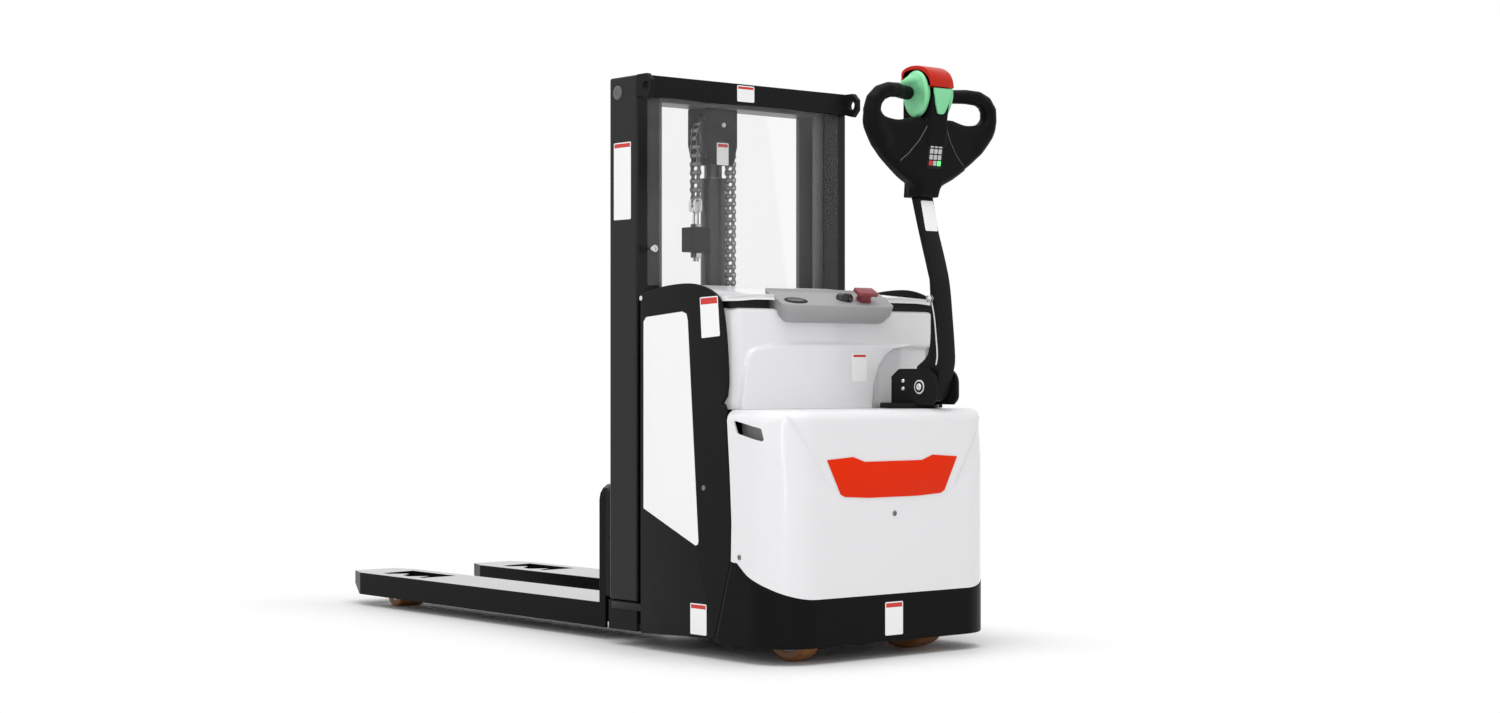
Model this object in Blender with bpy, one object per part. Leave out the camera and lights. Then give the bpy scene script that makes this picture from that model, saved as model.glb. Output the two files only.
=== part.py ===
"""Pedestrian stacker: a two-stage mast truck with an offset tiller.

Metres, +Z up.  Inside the script the working frame has X to the truck's right, Y towards
the fork tips, Y = 0 on the mast's rear face and X = 0 on the truck's centre plane.  One
empty moves that frame so that the model's origin is the middle of its footprint.
"""
import math

import bmesh
import bpy
from mathutils import Matrix, Vector

# Fits
GAP = 0.0003          # clearance between pieces that touch
RUN = 0.0003          # radial clearance of a pin or shaft in its hole

# Body
HALF_W = 0.335        # half width over the side panels
REAR_Y = -0.520       # rear face of the skirt
CORNER_R = 0.107      # plan radius of the rear corners
COVER_STEP = 0.002    # the white cover stands this far inside the skirt
WALL = 0.004          # moulded and folded cover thickness
SKIRT_BOTTOM = 0.036
COVER_TOP = 0.551
PANEL_T = 0.0095
INSET_DEPTH = 0.0012
DECK_TOP = 0.262
DECK_T = 0.012
FLOOR_TOP = 0.055
FLOOR_T = 0.015
FLOOR_FRONT_Y = 0.002
BULKHEAD_Y = -0.262
BULKHEAD_T = 0.012
FRAME_PLAY = 0.0055   # from the frame to the side panels
DECK_CORNER = 0.090   # clipped rear corners of the frame's deck
DECK_SET_IN = 0.020   # from the deck to the skirt's rear face
BODY_FRONT_Y = -0.285 # the covers are drawn this far forward and then trimmed
EDGE_PLAY = 0.002     # between the covers and the side panels' rear edges
SEAM_PLAY = 0.001     # between the skirt and the cover above it
SHAFT_PLAY = 0.012    # round the steering shaft in the cover
BEYOND = 0.05         # how far a cutting shape reaches past what it cuts

# Side panel, seen from the side as (y, z)
PANEL_REAR = [(-0.294, 0.046), (-0.347, 0.215), (-0.349, 0.305), (-0.343, 0.411),
              (-0.333, 0.538), (-0.330, 0.565), (-0.340, 0.612), (-0.332, 0.676),
              (-0.323, 0.772), (-0.311, 0.796), (-0.277, 0.816), (-0.213, 0.831)]
PANEL_FRONT_Y = -0.026
PANEL_FRONT_TOP = 0.802
PANEL_FOOT_Y = 0.085
PANEL_FOOT_Z = (0.038, 0.084)
INSET_Y = (-0.239, -0.038)
INSET_Z = (0.247, 0.770)
INSET_TOP_REAR_Y = -0.201
INSET_FRONT_LOW = 0.322
INSET_CORNER = 0.010
SKIRT_LINE = [(-0.347, 0.215), (-0.413, 0.190), (-0.464, 0.170), (-0.540, 0.136)]
SIDE_SLOT = [(-0.363, 0.527), (-0.365, 0.505), (-0.464, 0.482), (-0.462, 0.500)]

# Right half of the rear badge, as (x, z)
BADGE_HALF = [(0.122, 0.436), (0.145, 0.447), (0.198, 0.444), (0.178, 0.366), (0.162, 0.358)]

# Inside the body
BATTERY_PLAY = 0.0255 # from the battery to the side panels
BATTERY_TOP = 0.700
CELL_GROOVE = 0.006
PUMP_X = (-0.290, -0.075)
PUMP_Y = (-0.450, -0.290)
PUMP_TANK_H = 0.118
PUMP_MOTOR_R = 0.052
PUMP_MOTOR_H = 0.150
CONTROLLER_X = (-0.060, 0.045)
CONTROLLER_Y = (-0.420, -0.290)
CONTROLLER_H = 0.158
FIN_COUNT = 5
FIN_W = 0.008
FIN_DEPTH = 0.020

# Console
CONSOLE_REAR_Y = -0.340
CONSOLE_TOP = 0.776
CONSOLE_R = 0.045
CONSOLE_PLAY = 0.0005  # gap to the side panels
RECESS_DEPTH = 0.020
RECESS_X = 0.110
RECESS_TOP = 0.687
RECESS_WALL = 0.006
NICHE_PLAY = 0.012    # free space round the tiller's base
LID_T = 0.012
LID_GAP = 0.018       # height of the set-back band under the lid
LID_SET_BACK = 0.010
LID_OVERHANG = 0.006
LID_SLOPE = 0.10
LID_FRONT_Y = -0.028

# Storage tray
TRAY_X = (-0.191, 0.154)
TRAY_Y = (-0.362, -0.292)
TRAY_BOTTOM = 0.745
TRAY_RIM = 0.783      # height of the rim at the rear
TRAY_SLOPE = 0.44     # the tray climbs towards the mast
TRAY_DISH = 0.005
TRAY_WALL = 0.006
TRAY_R = 0.024
TRAY_PLAY = 0.0005

# Mast
MAST_HALF_W = 0.325
MAST_D = 0.105
MAST_TOP = 1.319
MAST_FOOT_TOP = 0.103
MAST_FOOT_Y = MAST_D + 0.004
RAIL_W = 0.068
RAIL_WEB = 0.010
RAIL_FLANGE = 0.012
INNER_PLAY = 0.004    # running gap between the outer and inner rails
INNER_REACH = 0.019   # how far the inner rail stands out of the outer one
INNER_TOP = MAST_TOP - 0.019
INNER_BAR_Z = INNER_TOP - 0.038
TIE_Z = (0.130, 0.200)
CROSSBAR_T = 0.012
CROSSBAR_H = 0.050
LUG_REACH = 0.041
LUG_T = 0.012
LUG_H = 0.058
LUG_HOLE_R = 0.011
LUG_CLIP = 0.016
INNER_Y = (RAIL_FLANGE + INNER_PLAY, MAST_D - RAIL_FLANGE - INNER_PLAY)
INNER_X = (MAST_HALF_W - RAIL_W - INNER_REACH, MAST_HALF_W - RAIL_WEB - INNER_PLAY)
GUIDE_R = (INNER_Y[1] - INNER_Y[0]) / 2 - RAIL_FLANGE - GAP
GUIDE_Y = (INNER_Y[0] + INNER_Y[1]) / 2
SCREEN_HALF_W = 0.295
SCREEN_T = 0.004
SCREEN_Z = (0.835, MAST_TOP - CROSSBAR_H - 0.0005)

# Lift gear
CYL_X = -0.050
CYL_Y = 0.060
CYL_R = 0.030
CYL_BORE_R = 0.0235
PULLEY_Z = INNER_BAR_Z - 0.072
CYL_TOP = PULLEY_Z - 0.105
CYL_FLOOR = 0.012
GLAND_H = 0.0115
GLAND_R = 0.033
ROD_R = 0.0215
CHAIN_PITCH_R = 0.0535
CHAIN_T = 0.0174
CHAIN_W = 0.020
PULLEY_FLANGE = 0.0025
PULLEY_OUT = 0.011    # flange radius over the root
PIN_R = 0.010
YOKE_T = 0.008
YOKE_REAR_X = (-0.042, 0.0537)  # the rear plate covers the lifting strand only
YOKE_FRONT_X = (-0.056, 0.056)
YOKE_TAPER = 0.012    # the plates narrow by this much at the foot
YOKE_SHOULDER = 0.028
YOKE_GAP = 0.036
ROD_HEAD_H = 0.022
ROD_HEAD_HALF_W = 0.030
ROD_PLAY = 0.003
ROD_LAP = 0.002       # the rod runs into its head by this much
ANCHOR_Z = (CYL_TOP - 0.166, CYL_TOP - 0.107)
ANCHOR_W = 0.050
ANCHOR_D = 0.046
ANCHOR_BOLT_R = 0.008
CLEVIS_Z = (CYL_TOP - 0.070, CYL_TOP - 0.038)
NUT_R = 0.0145
NUT_H = 0.0132
BOLT_END = 0.022
CLEVIS_HALF = (0.011, 0.013)

# Forks, carriage and support legs
FORK_TIP_Y = 1.371
FORK_HEEL_Y = 0.200
FORK_X = 0.195        # fork centre from the truck's centre plane
FORK_W = 0.180
FORK_Z = (0.029, 0.088)
FORK_PLATE = 0.010
FORK_SIDE = 0.008
FORK_NOSE = 0.026
TIP_CUT = (0.0285, 0.074)
TOE_RISE = 0.024
TOE_RUN = 0.060
FORK_SHANK = 0.025
SHANK_TOP = 0.370
SLOT_Y = (FORK_TIP_Y - 0.331, FORK_TIP_Y - 0.116)
SLOT_HALF_W = 0.052
CARRIAGE_T = 0.0247
CARRIAGE_Z = (0.105, 0.375)
CARRIAGE_HALF_W = 0.285
CARRIAGE_R = 0.038
WELD = 0.005          # how far joined plates run into each other
RAIL_PLAY = 0.007     # from the carriage's side plates to the inner rails
ROLLER_PLAY = 0.002   # from a guide roller to the rail's web
ROLLER_START = 0.020  # the rollers start this far inside the rail
SIDE_PLATE_TRIM = 0.010
CHAIN_LUG_HALF_W = 0.010
SIDE_PLATE_T = 0.018
SIDE_PLATE_Y = 0.030
ROLLER_AXLE_R = 0.010
ROLLER_Z = (0.165, 0.330)
CHAIN_LUG_Z = (0.250, 0.300)
LEG_HALF_W = 0.055
LEG_Z = (0.038, 0.070)
LEG_CHEEK = 0.010
LOAD_ROLLER_R = 0.0385
LOAD_ROLLER_W = 0.080
LOAD_ROLLER_Y = FORK_TIP_Y - 0.171
LOAD_ROLLER_ROOM = 0.006
LOAD_ROLLER_EDGE = 0.004
LEG_END_Y = LOAD_ROLLER_Y + 0.050
LOAD_AXLE_R = 0.008

# Tiller
STEER_X = 0.168
STEER_Y = -0.390
BASE_R = 0.068
BASE_T = 0.012
SHAFT_R = 0.018
CHEEK_T = 0.008
CHEEK_Y = (-0.500, -0.369)
CHEEK_TOP = [(-0.369, 0.623), (-0.406, 0.641), (-0.458, 0.640), (-0.493, 0.627), (-0.511, 0.600),
             (-0.514, 0.566)]
ARM_W = 0.047
ARM_SIDE_PLAY = 0.0063
PIVOT_Y = -0.468
PIVOT_Z = 0.600
HUB_R = 0.0335
HUB_FRONT_RISE = 0.020
WASHER_R = 0.0165
WASHER_T = 0.0067
PIN_END = 0.004       # the pivot pin stands out of the cheeks by this much

# Tiller arm, seen from the side as (y, z)
ARM_FRONT = [(-0.437, 0.647), (-0.469, 0.668), (-0.480, 0.693), (-0.482, 0.744),
             (-0.479, 0.832), (-0.472, 0.860), (-0.443, 0.953), (-0.419, 1.034)]
ARM_REAR = [(-0.446, 1.034), (-0.461, 0.967), (-0.486, 0.891), (-0.500, 0.835),
            (-0.509, 0.763), (-0.519, 0.668), (-0.513, 0.632)]

# Control head
HEAD_LOW = ARM_FRONT[-1][1] + GAP
NECK_Y = (ARM_FRONT[-1][0] + ARM_REAR[0][0]) / 2
HEAD_HALF_W = 0.205
HEAD_T = 0.040
HEAD_LEAN = 0.16      # the head leans back by this share of its height
HEAD_BEVEL = 0.010
COLUMN_HALF_W = 0.028
COLUMN_Z = 1.185      # foot of the column between the hand loops
COLUMN_REAR = 0.026   # the column's foot reaches this far behind the head's middle plane
COLUMN_FRONT = 0.016
COLUMN_FLARE = 0.010
CROWN_Y = (-0.478, -0.416)           # rear and front of the column's crown
CROWN_RISE = (0.020, 0.034, 0.040, 0.037)
WING_AXIS = (-0.448, 1.267)
WING_HALF = (0.043, 0.0535)
WING_T = 0.0175
WING_PLAY = 0.0025
WING_SHAFT_R = 0.006
POCKET_HALF_W = 0.066 # the hand loops leave this much for the column and wings
POCKET_LOW = 1.196
HAND_HOLE_LAP = 0.006 # the hand holes run into the pocket by this much
BUTTON_HALF_W = 0.029
BUTTON_T = 0.012
BUTTON_STEM_R = 0.008
BUTTON_STEM_Y = -0.440
BUTTON_STEM_LOW = 1.2965
BUTTON_TRAVEL = 0.008
BUTTON_PLAY = 0.003
BUTTON_OUTER = [(-0.396, 1.306), (-0.400, 1.326), (-0.424, 1.334), (-0.454, 1.331), (-0.476, 1.318),
                (-0.488, 1.297), (-0.493, 1.274)]
NOTCH_Z = BUTTON_OUTER[-1][1] - BUTTON_TRAVEL - BUTTON_PLAY
KEYPAD_Z = (1.098, 1.164)
KEYPAD_HALF_W = 0.024
KEYPAD_T = 0.0015
KEYPAD_R = 0.004

# Drive
DRIVE_WHEEL_R = 0.105
DRIVE_WHEEL_W = 0.070
DRIVE_AXLE_R = 0.016
MOTOR_R = 0.068
MOTOR_TOP = 0.460
RING_R = 0.108
RING_T = 0.013
RING_LEDGE = 0.012    # the steering ring rests on this much of the deck
RING_SPIGOT = 0.014   # the ring's foot is this much smaller
RING_SPIGOT_H = 0.024
MOTOR_EDGE = 0.008
CASE_HALF_D = 0.046   # gearbox beside the drive wheel
CASE_T = 0.036
CASE_PLAY = 0.004
CASE_Z = (0.055, 0.075)
CASE_FOOT_HALF_D = 0.030

# Wheels
TYRE_EDGE = 0.006
HUB_DISH = 0.008
RIM_SHARE = 0.72      # rim radius over wheel radius

# Castor
CASTOR_X = -0.215
CASTOR_Y = -0.390
CASTOR_TRAIL = 0.035
CASTOR_WHEEL_R = 0.075
CASTOR_WHEEL_W = 0.045
CASTOR_AXLE_R = 0.010
CASTOR_LEG = 0.008
CASTOR_PLAY = 0.0035  # from the wheel to the fork's legs
CASTOR_ROOM = 0.030   # from the wheel to the swivel plate
CASTOR_PLATE_R = 0.046
CASTOR_LEG_HALF = (0.036, 0.022)     # half width of a leg at its top and at the axle

# Controls on the tray
ESTOP_X = 0.094
ESTOP_Y = -0.326
ESTOP_STEM_R = 0.011
ESTOP_GRIP = (0.027, 0.014, 0.011)   # half width, half depth and height of the grip
ESTOP_TOP = 0.826
ESTOP_R = 0.006
KEY_X = 0.030
KEY_Y = -0.324
KEY_R = 0.013
KEY_COLLAR = 0.006
KEY_GRIP = (0.010, 0.0015, 0.026)    # half width, half thickness and height of the grip
CONTROL_DROP = 0.008  # the controls' stems end this far above the tray's underside

# The model's origin is the middle of the footprint of its box
ORIGIN_X = (STEER_X + HEAD_HALF_W - HALF_W) / 2
ORIGIN_Y = (FORK_TIP_Y + REAR_Y) / 2

ROUND = 28            # sides of a round piece
SMOOTH_ANGLE = math.radians(35)


# Modelling helpers

def clear_scene():
    for obj in list(bpy.data.objects):
        bpy.data.objects.remove(obj, do_unlink=True)


def finish(name, rgb, roughness, metallic=0.0):
    """A Principled material with one colour."""
    mat = bpy.data.materials.new(name)
    mat.use_nodes = True
    bsdf = mat.node_tree.nodes["Principled BSDF"]
    bsdf.inputs["Base Color"].default_value = (*rgb, 1.0)
    bsdf.inputs["Roughness"].default_value = roughness
    bsdf.inputs["Metallic"].default_value = metallic
    return mat


def empty(name, place, parent):
    """An empty at a place in the working frame, which carries what turns or slides there."""
    obj = bpy.data.objects.new(name, None)
    bpy.context.collection.objects.link(obj)
    base = Vector((0, 0, 0))
    if parent is not None:
        obj.parent = parent
        base = Vector(parent["place"])
    obj["place"] = place
    obj.location = Vector(place) - base
    return obj


def add(name, bm, mat, carrier):
    """Put a bmesh, drawn in the working frame, into an object whose origin is its carrier's."""
    bmesh.ops.remove_doubles(bm, verts=bm.verts, dist=1e-6)
    bmesh.ops.recalc_face_normals(bm, faces=bm.faces)
    mesh = bpy.data.meshes.new(name)
    bm.to_mesh(mesh)
    bm.free()
    mesh.transform(Matrix.Translation(-Vector(carrier["place"])))
    mesh.shade_smooth()
    mesh.set_sharp_from_angle(angle=SMOOTH_ANGLE)
    mesh.materials.append(mat)
    obj = bpy.data.objects.new(name, mesh)
    bpy.context.collection.objects.link(obj)
    obj.parent = carrier
    return obj


def to_axis(axis, u, v, w):
    """A point with in-plane coordinates u, v and height w along an axis."""
    if axis == "X":
        return (w, u, v)
    if axis == "Y":
        return (u, w, v)
    return (u, v, w)


def prism_mesh(outline, axis, low, high):
    """A closed prism over an outline, from low to high along the axis."""
    bm = bmesh.new()
    rings = [[bm.verts.new(to_axis(axis, u, v, w)) for u, v in outline] for w in (low, high)]
    count = len(outline)
    for i in range(count):
        j = (i + 1) % count
        bm.faces.new((rings[0][i], rings[0][j], rings[1][j], rings[1][i]))
    bm.faces.new(rings[0])
    bm.faces.new(rings[1])
    return bm


def box_outline(u0, u1, v0, v1):
    return [(u0, v0), (u1, v0), (u1, v1), (u0, v1)]


def box_mesh(x, y, z):
    return prism_mesh(box_outline(x[0], x[1], y[0], y[1]), "Z", z[0], z[1])


def arc(cu, cv, radius, start, end, steps):
    """Points of an arc, with its angles in degrees."""
    angles = [math.radians(start + (end - start) * i / steps) for i in range(steps + 1)]
    return [(cu + radius * math.cos(a), cv + radius * math.sin(a)) for a in angles]


def circle(cu, cv, radius, sides=ROUND):
    return arc(cu, cv, radius, 0, 360 - 360 / sides, sides - 1)


def rounded_box(u0, u1, v0, v1, radius, steps=4):
    return (arc(u1 - radius, v1 - radius, radius, 0, 90, steps)
            + arc(u0 + radius, v1 - radius, radius, 90, 180, steps)
            + arc(u0 + radius, v0 + radius, radius, 180, 270, steps)
            + arc(u1 - radius, v0 + radius, radius, 270, 360, steps))


def turned_mesh(profile, axis, cu, cv, sides=ROUND):
    """A closed profile of (radius, height) turned about an axis through (cu, cv)."""
    bm = bmesh.new()
    loops = []
    for radius, height in profile:
        ring = [to_axis(axis, u, v, height) for u, v in circle(cu, cv, radius, sides)]
        loops.append([bm.verts.new(p) for p in ring])
    count = len(profile)
    closed = all(radius > 0 for radius, _ in profile)
    for k in range(count if closed else count - 1):
        a, b = loops[k], loops[(k + 1) % count]
        for i in range(sides):
            j = (i + 1) % sides
            bm.faces.new((a[i], a[j], b[j], b[i]))
    bmesh.ops.remove_doubles(bm, verts=bm.verts, dist=1e-6)
    bmesh.ops.dissolve_degenerate(bm, edges=bm.edges, dist=1e-7)
    return bm


def rod_mesh(axis, cu, cv, radius, low, high, sides=ROUND):
    return prism_mesh(circle(cu, cv, radius, sides), axis, low, high)


def combine(obj, bm, operation):
    """Cut a shape out of an object, join it on, or keep what both share."""
    tool = add(obj.name + "_" + operation.lower(), bm, obj.data.materials[0], obj.parent)
    tool.hide_render = True
    tool.display_type = "WIRE"
    mod = obj.modifiers.new(operation.title(), "BOOLEAN")
    mod.operation = operation
    mod.solver = "EXACT"
    mod.object = tool


def cut(obj, bm):
    combine(obj, bm, "DIFFERENCE")


def join(obj, bm):
    combine(obj, bm, "UNION")


def keep(obj, bm):
    combine(obj, bm, "INTERSECT")


def mirrored(points, side):
    return [(side * u, v) for u, v in points]


def span(a, b, side, centre=0.0):
    """The ordered pair of two X places on one side of a centre plane."""
    return tuple(sorted((centre + side * a, centre + side * b)))


# Outlines shared by several pieces

def body_plan(half_w, rear_y, front_y, radius):
    """Plan of the rear body: two straight sides, a flat rear and two round corners."""
    return ([(half_w, front_y)]
            + arc(half_w - radius, rear_y + radius, radius, 0, -90, 8)
            + arc(-half_w + radius, rear_y + radius, radius, -90, -180, 8)
            + [(-half_w, front_y)])


def side_panel_outline():
    low, high = PANEL_FOOT_Z
    return ([(PANEL_FOOT_Y, low), (PANEL_FOOT_Y, high), (PANEL_FRONT_Y, high),
             (PANEL_FRONT_Y, PANEL_FRONT_TOP)] + PANEL_REAR[::-1] + [(PANEL_FRONT_Y, SKIRT_BOTTOM)])


def inset_outline(shrink):
    """The white field on the side panel, drawn in by a margin."""
    rear, front = INSET_Y[0] + shrink, INSET_Y[1] - shrink
    low, top = INSET_Z[0] + shrink, INSET_Z[1] - shrink
    top_rear, r = INSET_TOP_REAR_Y + shrink, INSET_CORNER
    return [(front, INSET_FRONT_LOW + shrink), (front, top - 2 * r), (front - r, top - r),
            (top_rear + 2 * r, top), (top_rear + r / 2, top - r / 2), (top_rear, top - 2 * r),
            (rear, low + r), (rear + r / 4, low + r / 4), (rear + r, low)]


# Frame, legs and body

def build_chassis(root, mats):
    half = HALF_W - PANEL_T - FRAME_PLAY
    floor = box_outline(-half, half, BULKHEAD_Y, FLOOR_FRONT_Y)
    frame = add("chassis_frame", prism_mesh(floor, "Z", FLOOR_TOP - FLOOR_T, FLOOR_TOP),
                mats["black"], root)
    join(frame, box_mesh((-MAST_HALF_W, MAST_HALF_W), (-GAP * 2, MAST_FOOT_Y),
                         (SKIRT_BOTTOM, MAST_FOOT_TOP)))
    join(frame, box_mesh((-half, half), (BULKHEAD_Y, BULKHEAD_Y + BULKHEAD_T),
                         (FLOOR_TOP - FLOOR_T, DECK_TOP)))
    corner = DECK_CORNER
    rear = REAR_Y + DECK_SET_IN
    deck = [(half, BULKHEAD_Y + BULKHEAD_T / 2), (half, rear + corner), (half - corner, rear),
            (-half + corner, rear), (-half, rear + corner), (-half, BULKHEAD_Y + BULKHEAD_T / 2)]
    join(frame, prism_mesh(deck, "Z", DECK_TOP - DECK_T, DECK_TOP))
    cut(frame, rod_mesh("Z", STEER_X, STEER_Y, RING_R - RING_LEDGE, DECK_TOP - BEYOND,
                        DECK_TOP + BEYOND))


def build_leg(root, mats, side, label):
    centre = side * FORK_X
    start = MAST_FOOT_Y + GAP
    leg = add(label + "_support_leg",
              box_mesh((centre - LEG_HALF_W, centre + LEG_HALF_W), (start, LEG_END_Y), LEG_Z),
              mats["black"], root)
    room = LEG_HALF_W - LEG_CHEEK
    cut(leg, box_mesh((centre - room, centre + room),
                      (LOAD_ROLLER_Y - LOAD_ROLLER_R - LOAD_ROLLER_ROOM, LEG_END_Y + LEG_CHEEK),
                      (LEG_Z[0] - LEG_CHEEK, LEG_Z[1] + LEG_CHEEK)))
    cut(leg, rod_mesh("X", LOAD_ROLLER_Y, LOAD_ROLLER_R, LOAD_AXLE_R + RUN,
                      centre - 2 * LEG_HALF_W, centre + 2 * LEG_HALF_W, 16))
    add(label + "_load_axle",
        rod_mesh("X", LOAD_ROLLER_Y, LOAD_ROLLER_R, LOAD_AXLE_R,
                 centre - LEG_HALF_W, centre + LEG_HALF_W, 16), mats["zinc"], root)
    axis = empty(label + "_load_roller_axis", (centre, LOAD_ROLLER_Y, LOAD_ROLLER_R), root)
    half = LOAD_ROLLER_W / 2
    edge = LOAD_ROLLER_EDGE
    profile = [(LOAD_AXLE_R + RUN, centre - half), (LOAD_ROLLER_R - edge, centre - half),
               (LOAD_ROLLER_R, centre - half + edge), (LOAD_ROLLER_R, centre + half - edge),
               (LOAD_ROLLER_R - edge, centre + half), (LOAD_AXLE_R + RUN, centre + half)]
    add(label + "_load_roller", turned_mesh(profile, "X", LOAD_ROLLER_Y, LOAD_ROLLER_R),
        mats["amber"], axis)


def build_side_panel(root, mats, side, label):
    panel = add(label + "_side_panel",
                prism_mesh(side_panel_outline(), "X", *span(HALF_W - PANEL_T, HALF_W, side)),
                mats["black"], root)
    cut(panel, prism_mesh(inset_outline(0.0), "X",
                          *span(HALF_W - INSET_DEPTH, HALF_W + BEYOND, side)))
    low, high = span(HALF_W - INSET_DEPTH + GAP, HALF_W, side)
    add(label + "_panel_inset", prism_mesh(inset_outline(GAP * 2), "X", low, high),
        mats["white"], root)


def build_rear_body(root, mats):
    front = BODY_FRONT_Y
    seam_z = PANEL_REAR[1][1]
    skirt = add("rear_skirt", prism_mesh(body_plan(HALF_W, REAR_Y, front, CORNER_R), "Z",
                                         SKIRT_BOTTOM, seam_z), mats["black"], root)
    cut(skirt, prism_mesh(body_plan(HALF_W - WALL, REAR_Y + WALL, front + BEYOND, CORNER_R - WALL),
                          "Z", SKIRT_BOTTOM - BEYOND, seam_z + BEYOND))
    lean = [(y - EDGE_PLAY, z) for y, z in PANEL_REAR[:2]]
    below = ([(REAR_Y - BEYOND, 0.0), (lean[0][0], 0.0)] + lean
             + [(y, z - SEAM_PLAY) for y, z in SKIRT_LINE[1:]])
    keep(skirt, prism_mesh(below, "X", -2 * HALF_W, 2 * HALF_W))

    half = HALF_W - COVER_STEP
    rear = REAR_Y + COVER_STEP
    radius = CORNER_R - COVER_STEP
    foot = SKIRT_LINE[-1][1] - BEYOND
    cover = add("rear_cover", prism_mesh(body_plan(half, rear, front, radius), "Z", foot, COVER_TOP),
                mats["white"], root)
    cut(cover, prism_mesh(body_plan(half - WALL, rear + WALL, front + BEYOND, radius - WALL),
                          "Z", foot - BEYOND, COVER_TOP - WALL))
    rise = [(y - EDGE_PLAY, z) for y, z in PANEL_REAR[1:6]]
    above = (SKIRT_LINE[:0:-1] + rise
             + [(rise[-1][0], COVER_TOP + BEYOND), (REAR_Y - BEYOND, COVER_TOP + BEYOND)])
    keep(cover, prism_mesh(above, "X", -2 * HALF_W, 2 * HALF_W))
    cut(cover, rod_mesh("Z", STEER_X, STEER_Y, SHAFT_R + SHAFT_PLAY, COVER_TOP - BEYOND,
                        COVER_TOP + BEYOND))
    for side in (-1, 1):
        cut(cover, prism_mesh(SIDE_SLOT, "X", *span(HALF_W - BEYOND, HALF_W + BEYOND, side)))

    badge = BADGE_HALF + mirrored(BADGE_HALF, -1)[::-1]
    add("badge_plate", prism_mesh(badge, "Y", REAR_Y, rear - GAP), mats["orange"], root)


def build_console(root, mats):
    half = HALF_W - PANEL_T - CONSOLE_PLAY
    bottom = COVER_TOP + GAP
    front = LID_FRONT_Y - LID_OVERHANG
    console = add("console_cover",
                  prism_mesh(body_plan(half, CONSOLE_REAR_Y, front, CONSOLE_R), "Z",
                             bottom, CONSOLE_TOP), mats["white"], root)
    cut(console, prism_mesh(body_plan(half - WALL, CONSOLE_REAR_Y + WALL, front + WALL,
                                      CONSOLE_R - WALL), "Z", bottom - WALL, CONSOLE_TOP - WALL))
    face = CONSOLE_REAR_Y + RECESS_DEPTH
    niche_r = BASE_R + NICHE_PLAY
    back_r = niche_r + RECESS_WALL

    def recess(u0, u1, rear, depth, radius):
        reach = math.degrees(math.asin((depth - STEER_Y) / radius))
        return ([(u0, rear), (u1, rear), (u1, depth)]
                + arc(STEER_X, STEER_Y, radius, reach, 180 - reach, 10) + [(u0, depth)])

    join(console, prism_mesh(recess(RECESS_X - 2 * RECESS_WALL, half - WALL / 2,
                                    CONSOLE_REAR_Y + WALL / 2, face + RECESS_WALL, back_r), "Z",
                             bottom, RECESS_TOP + RECESS_WALL))
    cut(console, prism_mesh(recess(RECESS_X, half + CONSOLE_R, CONSOLE_REAR_Y - CONSOLE_R, face,
                                   niche_r), "Z", bottom - WALL, RECESS_TOP))
    x0, x1 = TRAY_X[0] - TRAY_PLAY, TRAY_X[1] + TRAY_PLAY
    y1 = TRAY_Y[1] + TRAY_PLAY
    cut(console, box_mesh((x0, x1), (CONSOLE_REAR_Y - CONSOLE_R, y1),
                          (TRAY_BOTTOM - GAP, CONSOLE_TOP + WALL)))

    def lid_plan(inset):
        wide, rear = half - inset, CONSOLE_REAR_Y + LID_OVERHANG + inset
        return [(-wide, rear), (x0 - inset, rear), (x0 - inset, y1 + inset), (x1 + inset, y1 + inset),
                (x1 + inset, rear), (wide, rear), (wide, LID_FRONT_Y - inset),
                (-wide, LID_FRONT_Y - inset)]

    low = CONSOLE_TOP + LID_GAP
    plate = prism_mesh(lid_plan(0.0), "Z", low, low + LID_T)
    band = prism_mesh(lid_plan(LID_SET_BACK), "Z", CONSOLE_TOP + GAP, low + LID_T / 2)
    for bm in (plate, band):
        for vert in bm.verts:
            if vert.co.z > low - GAP:
                vert.co.z += LID_SLOPE * (vert.co.y - CONSOLE_REAR_Y)
    join(add("console_lid", plate, mats["white"], root), band)


def tray_z(y):
    """Height of the tray's sloping rim."""
    return TRAY_RIM + TRAY_SLOPE * (y - TRAY_Y[0])


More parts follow.
